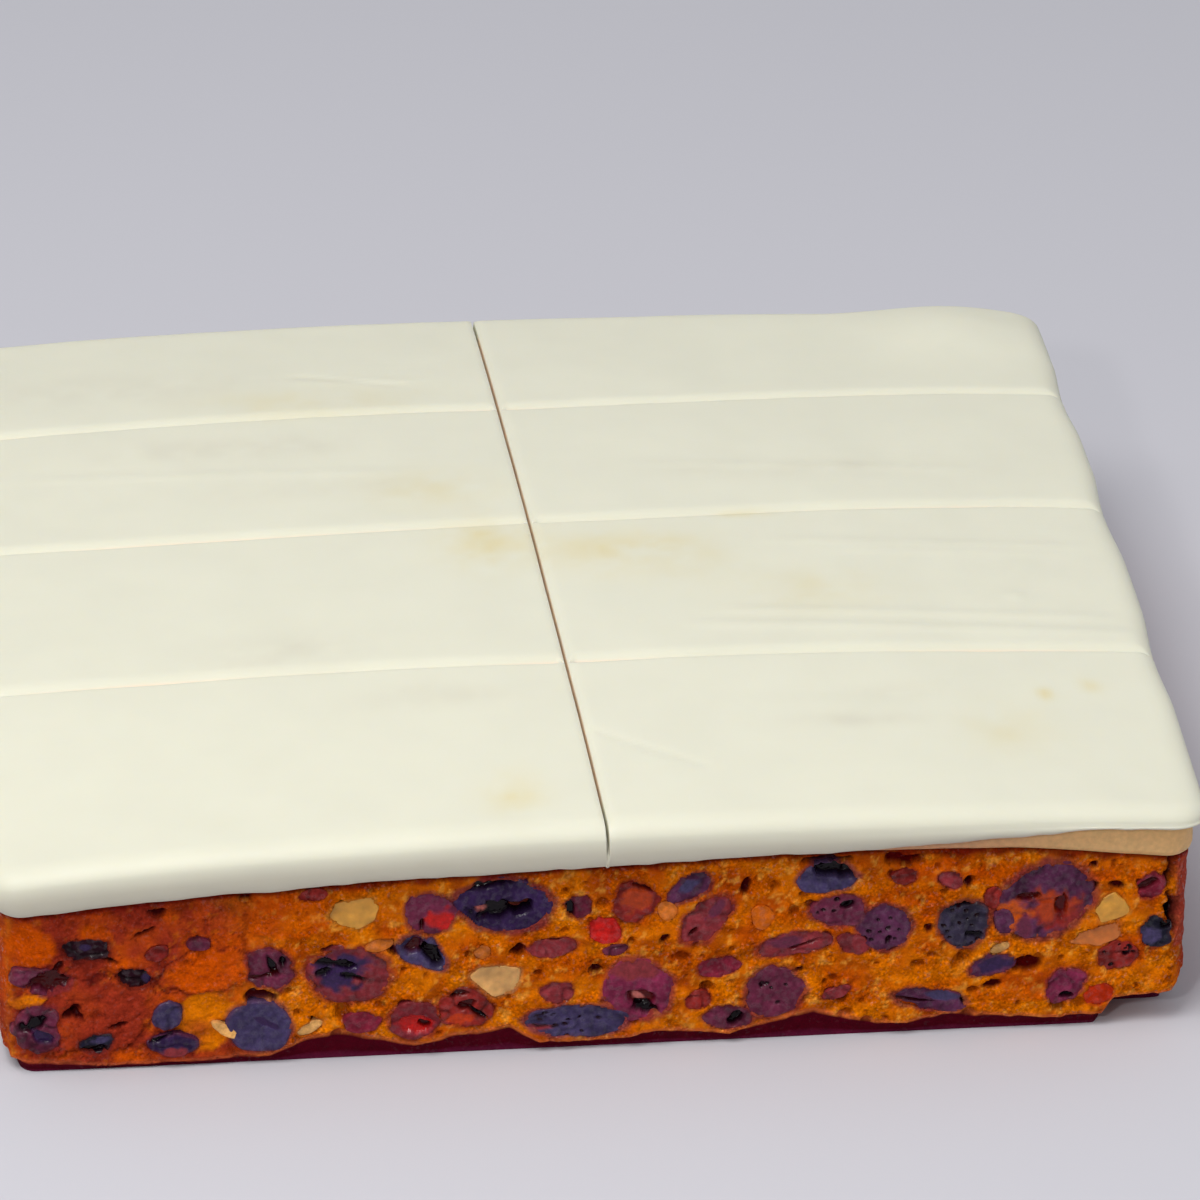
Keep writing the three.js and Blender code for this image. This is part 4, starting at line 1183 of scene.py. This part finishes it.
def random_look(kind, random):
    """A look for a piece in the walls away from the cut face."""
    tone = random.choice(OTHER_TONES[kind])
    if kind in ("almond", "peel"):
        return look(tone, ragged=0.04, folds=0.1, skin=0.1)
    marks = []
    for _ in range(random.integers(1, 4)):
        u, v = random.uniform(-0.4, 0.4, 2)
        half_u, half_v = random.uniform(0.15, 0.45), random.uniform(0.1, 0.22)
        marks.append(hollow(u, v, half_u, half_v, random.uniform(-40, 40)))
    return look(tone, *marks, ragged=random.uniform(0.04, 0.14), folds=0.8, specks=random.integers(0, 8))


def make_fruit():
    """Makes every sliced piece of the frame, and gives their outlines with their tones."""
    random = np.random.default_rng(8)
    slices = []
    names = [name for name in sorted(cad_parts) if name not in ("icing", "marzipan", "cake")]
    for seed, name in enumerate(names, start=100):
        kind = name.split("_")[0]
        looks = random_look(kind, random)
        looks = LOOKS.get(name, looks)
        cut = slice_of(name, looks["ragged"], seed, corners=9 if kind == "raisin" else 18)
        slices.append((cut, TONES[looks["tone"]]))
        shape = Shape()
        add_slice(shape, cut, seed, looks)
        piece = shape.make(f"{name}_fine", nut if kind == "almond" else fruit)
        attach(piece, "root")
        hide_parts(name)
    return slices


def make_small_pieces():
    """The cut face's smallest pieces, as one mesh."""
    shape = Shape()
    slices = []
    for seed, (x, z, width, height, tilt, tone) in enumerate(SMALL_PIECES, start=300):
        cut = front_slice(x, z, width, height, tilt, SMALL_RAGGED, seed)
        slices.append((cut, TONES[tone]))
        folds = 0.0 if tone in ("cream", "gold", "pale_gold") else 0.8
        add_slice(shape, cut, seed, look(tone, folds=folds, skin=0.2))
    piece = shape.make("small_pieces", fruit)
    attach(piece, "root")
    return slices


def make_back_pieces(slices):
    """Smaller seeded pieces in the walls away from the cut face, clear of the others."""
    random = np.random.default_rng(12)
    half_width, half_depth = LAYER_SIZES["cake"]
    taken = [(cut.centre, np.max(cut.radii)) for cut, _ in slices]
    shape = Shape()
    added = []
    for seed in range(400, 600):
        if len(added) == BACK_PIECES:
            break
        width = random.uniform(3.5, 8.5)
        middle = np.array([random.uniform(-88, 88), half_depth, random.uniform(7, 31)])
        if random.random() < BACK_END_SHARE:
            middle[:2] = random.choice((-1, 1)) * half_width, random.uniform(-80, 88)
        centre, right = wall_frame(middle)
        clear = BACK_CLEARANCE * width
        if any(np.linalg.norm(centre - other) < reach + clear for other, reach in taken):
            continue
        radii = ellipse_radii(width, width * random.uniform(0.5, 0.85), random.uniform(-40, 40))
        tone = random.choice(BACK_TONES)
        cut = Slice(centre, right, radii, BACK_RAGGED, seed)
        add_slice(shape, cut, seed, look(tone, folds=0.7, skin=0.2))
        taken.append((centre, width / 2))
        added.append((cut, TONES[tone]))
    piece = shape.make("back_pieces", fruit)
    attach(piece, "root")
    return added


# ---------------------------------------------------------------- cake

CRUMB = {
    "brown": srgb(184, 76, 2),
    "gold": srgb(222, 118, 2),
    "pale": srgb(252, 180, 70),
    "red": srgb(152, 48, 28),
    "orange": srgb(204, 80, 2),
    "dark": srgb(132, 44, 4),
    "crust": srgb(158, 60, 48),
    # Painted shade in the crumb's small pits.
    "pit": srgb(88, 10, 2),
    # The cake's dark top crust, with the shade under the icing's edge painted in.
    "top_crust_and_shade": srgb(106, 10, 8),
    "rim": srgb(222, 112, 70),
    # The dark bottom crust, with the shade under the lip painted in.
    "bottom": srgb(76, 2, 20),
    # A painted reflection of the table and soft shadow at the crust's foot.
    "foot_painted_reflection": srgb(122, 34, 70),
}
# Parts of the cut face that stand out from the torn crumb or lie behind it: middle along X, height,
# size along X, height, tilt, tone and how far they stand out.
PATCHES = (
    (-86.5, 10.9, 25, 13.5, 3, "red", 0.45),
    (-94.8, 13.9, 6.4, 2.8, 10, "gold", 0.45),
    (-94.8, 24.1, 9.4, 8.8, -5, "orange", 0.0),
    (-83.4, 25.9, 5.4, 3.2, -15, "orange", 0.1),
    (-65.5, 17.7, 15, 8.0, 12, "orange", 0.5),
    (-51.5, 27.7, 15.5, 9.0, 4, "orange", 0.2),
    (-65.2, 9.3, 11, 11, 0, "gold", -0.1),
    (-48.8, 9.7, 11, 8, -20, "gold", 0.1),
    (-31.0, 14.7, 9, 4, 20, "gold", 0.0),
    (30.5, 13.7, 12, 4.4, -30, "gold", 0.0),
    (55.0, 13.3, 22, 6.0, 0, "gold", 0.0),
    (66.0, 29.9, 14, 4.0, 0, "orange", 0.1),
    (72.0, 6.7, 14, 2.6, 0, "orange", 0.1),
    (56.0, 31.9, 8, 3.0, 0, "orange", 0.1),
    (86.0, 29.9, 16, 5.0, 0, "orange", 0.0),
    (91.8, 10.3, 8, 4.4, 20, "gold", 0.0),
)
WALL_LEVELS = 84
WALL_INSET = 0.3  # how far the walls lie in on the whole
END_ROUGHNESS = 0.5  # the ends' relief, as a share of the cut faces'
TORN_END = -58.0  # to the left of this the cut face is smeared and torn
TORN_DEPTH = 0.75  # how far the torn crumb lies behind the wall
CRACK_DEPTH = 0.3
PITS = 430
FRONT_PITS_SHARE = 0.65  # of them are in the cut face, the others in the back wall
CRUST_START = 97.0  # to the right of this the cut face turns into the cake's side crust
CRUST_FOOT = 14.0  # above this height
# The rings of the dark bottom crust: share of the lip's height, how much further in than the
# undercut, whether its inset is uneven, and tone; the tones carry painted shade under the lip and a painted
# reflection of the table at the foot.
CRUST_RINGS = (
    (0.0, 0.5, 0, "foot_painted_reflection"),
    (0.3, 0.3, 1, "bottom"),
    (0.65, 0.0, 1, "bottom"),
    (0.85, -0.2, 1, "bottom"),
)


def lip_height(outline, x, y):
    """How high the bottom edge of each wall stands."""
    at = np.stack([x, y, 0 * x], axis=-1)
    along_x, heights = zip(*FRONT_LIP)
    front = np.interp(x, along_x, heights) + 0.25 * noise(at, 3, 71) + 0.12 * noise(at, 1.2, 72)
    broken = np.where(outline["nx"] > 0, 1 - smooth_step(-100, CORNER_BREAK["y"] + 6, y), 0)
    others = LIP_HEIGHT + 0.7 * noise(at, 16, 73) + 0.3 * noise(at, 3, 74) + 5 * broken
    return np.maximum(0.3, np.where(outline["ny"] < -0.5, front, others))


def torn_share(points):
    """1 where the cut face is smeared and torn, 0 where its crumb is open."""
    ragged = points[..., 0] + 9 * noise(points, 12, 33)
    return np.where(points[..., 1] < 0, 1 - smooth_step(TORN_END - 8, TORN_END + 8, ragged), 0)


def crumb_colours(points, torn, smooth):
    """Golden open crumb in the cut faces, redder where it is torn, and crust at the ends."""
    gold = blend(CRUMB["brown"], CRUMB["gold"], np.clip(0.5 + 0.75 * rough(points, 5, 11), 0, 1))
    dark = smooth_step(0.15, 0.6, rough(points, 3.4, 51))
    gold = blend(gold, CRUMB["dark"], 0.45 * dark)
    gold = blend(gold, CRUMB["pale"], 0.42 * smooth_step(0.25, 0.75, rough(points, 1.2, 21)))
    red = blend(CRUMB["red"], CRUMB["orange"], np.clip(0.3 + 0.8 * rough(points, 6, 31), 0, 1))
    red = blend(red, CRUMB["gold"], 0.3 * smooth_step(0.35, 0.8, rough(points, 1.5, 24)))
    colours = blend(gold, red, np.maximum(torn, 0.9 * smooth))
    x, y, z = points[..., 0], points[..., 1], points[..., 2]
    corner = smooth_step(CRUST_START - 0.5, CRUST_START + 0.5, x) * ((y < 0) & (z > CRUST_FOOT))
    ends = smooth * smooth_step(-97, -88, y) * np.clip(0.7 + 0.5 * rough(points, 9, 61), 0, 1)
    return blend(colours, CRUMB["crust"], 0.85 * np.maximum(corner, ends))


def add_patches(points, relief, colours, torn):
    """Colours and lifts the parts of the cut face that differ from the crumb round them, and paints shade
    along their edges in the torn crumb.
    """
    edge = 0.22 * noise(points, 5, 35) + 0.14 * noise(points, 1.8, 36) + 0.07 * noise(points, 0.8, 38)
    strength = (0.5 + 0.35 * torn) * (1 + 0.7 * noise(points, 3.5, 40))
    for x, z, width, height, tilt, tone, lift in PATCHES:
        part = front_slice(x, z, width, height, tilt)
        away = part.share_out(points) + edge
        colours[:] = blend(colours, CRUMB[tone], np.clip(strength * (1 - smooth_step(0.8, 1.05, away)), 0, 1))
        relief -= lift * (1 - smooth_step(0.94, 1.0, away))
        # Painted shade along the edges of lifted parts in the torn crumb.
        beside = torn * lift * bell(away - 1.02, 0.035)
        colours[:] = blend(colours, TONES["maroon"], np.clip(1.6 * beside, 0, 1))


def sink_pits(points, relief, colours, open_share, ragged):
    """Small seeded pits all over the open crumb, darkened with painted shade."""
    random = np.random.default_rng(17)
    half_width, _ = LAYER_SIZES["cake"]
    for _ in range(PITS):
        front = random.random() < FRONT_PITS_SHARE
        x, z = random.uniform(-half_width, half_width), random.uniform(3, 34)
        size = random.uniform(0.3, 0.7) if random.random() < 0.8 else random.uniform(0.7, 1.4)
        flat = random.uniform(0.8, 1.8)
        depth = random.uniform(0.5, 1.1) * size
        near = (np.abs(points[..., 0] - x) < 3) & ((points[..., 1] < 0) == front) & (open_share > 0)
        place = points[near]
        away = np.hypot(place[:, 0] - x, (place[:, 2] - z) * flat) / size
        inside = (1 - smooth_step(0.55, 1.1, away + ragged[near])) * open_share[near]
        relief[near] += depth * inside
        # Painted shade in the pit.
        colours[near] = blend(colours[near], CRUMB["pit"], 0.5 * inside)


def sink_holes(points, relief, colours, ragged):
    """The cut face's own holes, cracks and crevices, sunk in and darkened with painted shade."""
    for x, z, width, height, tilt, depth, tone in HOLES:
        hole = front_slice(x, z, width, height, tilt)
        inside = 1 - smooth_step(0.75, 1.1, hole.share_out(points) + 1.5 * ragged)
        relief += depth * inside
        colours[:] = blend(colours, TONES[tone], inside)


def sink_beds(points, relief, colours, slices):
    """Makes room for the fruit, and stains the crumb round it."""
    stain_edge = 0.1 * noise(points, 2.2, 93)
    for cut, tone in slices:
        away = cut.share_out(points)
        bed = 1 - smooth_step(0.8, 0.88, away)
        relief[:] = np.where(bed > 0, np.maximum(relief, BED_DEPTH * bed), relief)
        stain = 0.75 * (1 - smooth_step(0.94, 1.14, away + stain_edge))
        colours[:] = blend(colours, 0.5 * tone + 0.35 * CRUMB["red"], stain)


def shape_walls(points, open_share, torn):
    """How far in the walls' points lie and their colours, without pits, holes and fruit."""
    strength = END_ROUGHNESS + (1 - END_ROUGHNESS) * open_share * (1 - 0.5 * torn)
    relief = WALL_INSET + strength * (0.28 * rough(points, 7, 1) + 0.4 * rough(points, 1.9, 5, 2))
    step = noise(points, 11, 37) + 0.12 * noise(points, 3, 38) + 0.06 * noise(points, 1.2, 39)
    relief += TORN_DEPTH * torn * (0.6 + 0.4 * smooth_step(-0.03, 0.03, step))
    crack = noise(points, 2.6, 44) + 0.4 * noise(points, 1.1, 45)
    relief += CRACK_DEPTH * torn * bell(crack, 0.07)
    colours = crumb_colours(points, torn, 1 - open_share)
    # Painted shade: maroon along the torn crumb's ledges and in its cracks.
    colours = blend(colours, TONES["maroon"], 0.5 * torn * bell(step, 0.05))
    colours = blend(colours, TONES["maroon"], 0.35 * torn * bell(crack, 0.05))
    add_patches(points, relief, colours, torn)
    return np.maximum(relief, -0.1), colours


def add_crust(shape, outline, lip, uneven):
    """Adds the rings of the bottom crust, which lies behind the walls, and gives their vertices."""
    undercut = UNDERCUT + END_UNDERCUT * outline["nx"] ** 2
    rings = []
    for share, inset, unevenness, tone in CRUST_RINGS:
        x, y = layer_ring(outline, "cake", inset=undercut + inset + unevenness * uneven)
        broken = 0.85 * smooth_step(CORNER_BREAK["x"] - 2.5, CORNER_BREAK["x"] + 2, x)
        beyond = np.maximum(0, CORNER_BREAK["y"] - y)
        place = np.stack([x, y + beyond * broken, share * lip], axis=1)
        rings.append(shape.add(place, CRUMB[tone], 1.0))
    return rings


def add_walls(shape, outline, x, y, lip, slices):
    """Adds the rings of the walls from their bottom edge up, and gives their vertices."""
    top = cake_top(x, y)
    share = np.linspace(0, 1, WALL_LEVELS)[:, None]
    z = lip + (top - lip) * share
    points = np.stack([np.broadcast_to(x, z.shape), np.broadcast_to(y, z.shape), z], axis=-1).copy()
    open_share = np.broadcast_to(smooth_step(0.4, 0.9, np.abs(outline["ny"])), z.shape)
    torn = torn_share(points) * open_share

    relief, colours = shape_walls(points, open_share, torn)
    ragged = 0.28 * noise(points, 1.5, 91) + 0.14 * noise(points, 0.8, 92)
    sink_pits(points, relief, colours, open_share * (1 - 0.55 * torn), ragged)
    sink_holes(points, relief, colours, ragged)
    sink_beds(points, relief, colours, slices)

    below_icing = top - z + 0.5 * noise(points, 3, 95)
    above_lip = z - lip
    # Painted shade: the top of each wall is darkened under the icing's edge, together with the dark top
    # crust.
    colours = blend(colours, CRUMB["top_crust_and_shade"], 0.85 * (1 - smooth_step(0.4, 1.7, below_icing)))
    colours = blend(colours, CRUMB["rim"], 0.5 * (1 - smooth_step(0.2, 0.9, above_lip)))
    relief += 0.4 * (1 - smooth_step(0, 0.8, above_lip)) ** 2
    relief += 0.5 * (1 - smooth_step(0, 0.8, top - z)) ** 2
    points[..., 0] -= outline["nx"] * relief
    points[..., 1] -= outline["ny"] * relief
    return [shape.add(*level) for level in zip(points, colours, 0.5 * torn + 0.5 * (1 - open_share))]


def make_cake(slices):
    outline = around_edge(
        even_lines(HALF_WIDTH, 0.36), even_lines(HALF_WIDTH, 1.1), even_lines(HALF_DEPTH, 1.5)
    )
    shape = Shape()
    x, y = layer_ring(outline, "cake")
    lip = lip_height(outline, x, y)
    uneven = 0.3 * noise(np.stack([x, y, lip], axis=1), 4, 81)
    rings = add_crust(shape, outline, lip, uneven) + add_walls(shape, outline, x, y, lip, slices)
    for inner in HIDDEN_SHARES[::-1]:
        ring_x, ring_y = layer_ring(outline, "cake", share=inner)
        rings.append(shape.add(np.stack([ring_x, ring_y, cake_top(ring_x, ring_y)], axis=1)))
    shape.skin(rings)
    bottom, middle = shape.add([[0, 0, 0], [0, 0, cake_top(0, 0)]], CRUMB["bottom"])
    shape.close_below(bottom, rings[0])
    shape.close_above(middle, rings[-1])
    piece = shape.make("cake_fine", crumb)
    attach(piece, "root")
    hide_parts("cake")


# ---------------------------------------------------------------- stage, light and camera

FLOOR = srgb(200, 200, 207)
CAMERA = {"lens": 210.0, "azimuth": -6.815, "elevation": 26.07, "roll": 0.726, "distance": 1316.9}
CAMERA_TARGET = (18.7, 61.5, 3.0)


def make_floor():
    material, _, shader = node_material("floor")
    shader.inputs["Base Color"].default_value = (*FLOOR, 1)
    shader.inputs["Roughness"].default_value = 0.7
    shader.inputs["Specular IOR Level"].default_value = 0.2
    mesh = bpy.data.meshes.new("floor")
    half = 3.0
    corners = [(-half, -half, 0), (half, -half, 0), (half, half, 0), (-half, half, 0)]
    mesh.from_pydata(corners, [], [(0, 1, 2, 3)])
    mesh.materials.append(material)
    floor = bpy.data.objects.new("floor", mesh)
    bpy.context.scene.collection.objects.link(floor)


def add_area_light(name, place, size, power, colour):
    """A square light that faces the slab; place and size are in metres."""
    data = bpy.data.lights.new(name, "AREA")
    data.size = size
    data.energy = power
    data.color = colour
    light = bpy.data.objects.new(name, data)
    light.location = place
    light.rotation_euler = (-Vector(place)).to_track_quat("-Z", "Y").to_euler()
    bpy.context.scene.collection.objects.link(light)


def make_sky():
    """Soft light from all round, brightest overhead."""
    world = bpy.data.worlds.new("soft")
    world.use_nodes = True
    tree = world.node_tree
    place = tree.nodes.new("ShaderNodeTexCoord")
    parts = tree.nodes.new("ShaderNodeSeparateXYZ")
    link(tree, place.outputs["Generated"], parts.inputs["Vector"])
    background = tree.nodes["Background"]
    background.inputs["Color"].default_value = (0.95, 0.96, 1.0, 1)
    link(tree, to_range(tree, parts.outputs["Z"], 0.12, 0.62, 0, 1), background.inputs["Strength"])
    bpy.context.scene.world = world


def make_light():
    add_area_light("key", (-0.38, -0.42, 1.15), 0.7, 10.5, (1.0, 0.985, 0.96))
    add_area_light("fill", (1.4, -0.5, 1.2), 1.2, 2.2, (0.94, 0.96, 1.0))
    add_area_light("glint", (-0.3, -0.9, 0.6), 0.06, 1.8, (1.0, 0.98, 0.95))
    make_sky()


def make_camera():
    azimuth = math.radians(CAMERA["azimuth"])
    elevation = math.radians(CAMERA["elevation"])
    back = Vector((
        math.sin(azimuth) * math.cos(elevation),
        -math.cos(azimuth) * math.cos(elevation),
        math.sin(elevation),
    ))
    data = bpy.data.cameras.new("camera")
    data.lens = CAMERA["lens"]
    data.sensor_width = 36
    data.clip_end = 10
    camera = bpy.data.objects.new("camera", data)
    camera.location = (Vector(CAMERA_TARGET) + back * CAMERA["distance"]) * MM
    camera.rotation_mode = "QUATERNION"
    roll = Quaternion((0, 0, 1), math.radians(CAMERA["roll"]))
    camera.rotation_quaternion = (-back).to_track_quat("-Z", "Y") @ roll
    bpy.context.scene.collection.objects.link(camera)
    bpy.context.scene.camera = camera


make_icing()
make_marzipan()
fruit_slices = make_fruit()
fruit_slices += make_small_pieces()
fruit_slices += make_back_pieces(fruit_slices)
make_cake(fruit_slices)
make_floor()
make_light()
make_camera()
bpy.context.scene.view_settings.view_transform = "Standard"
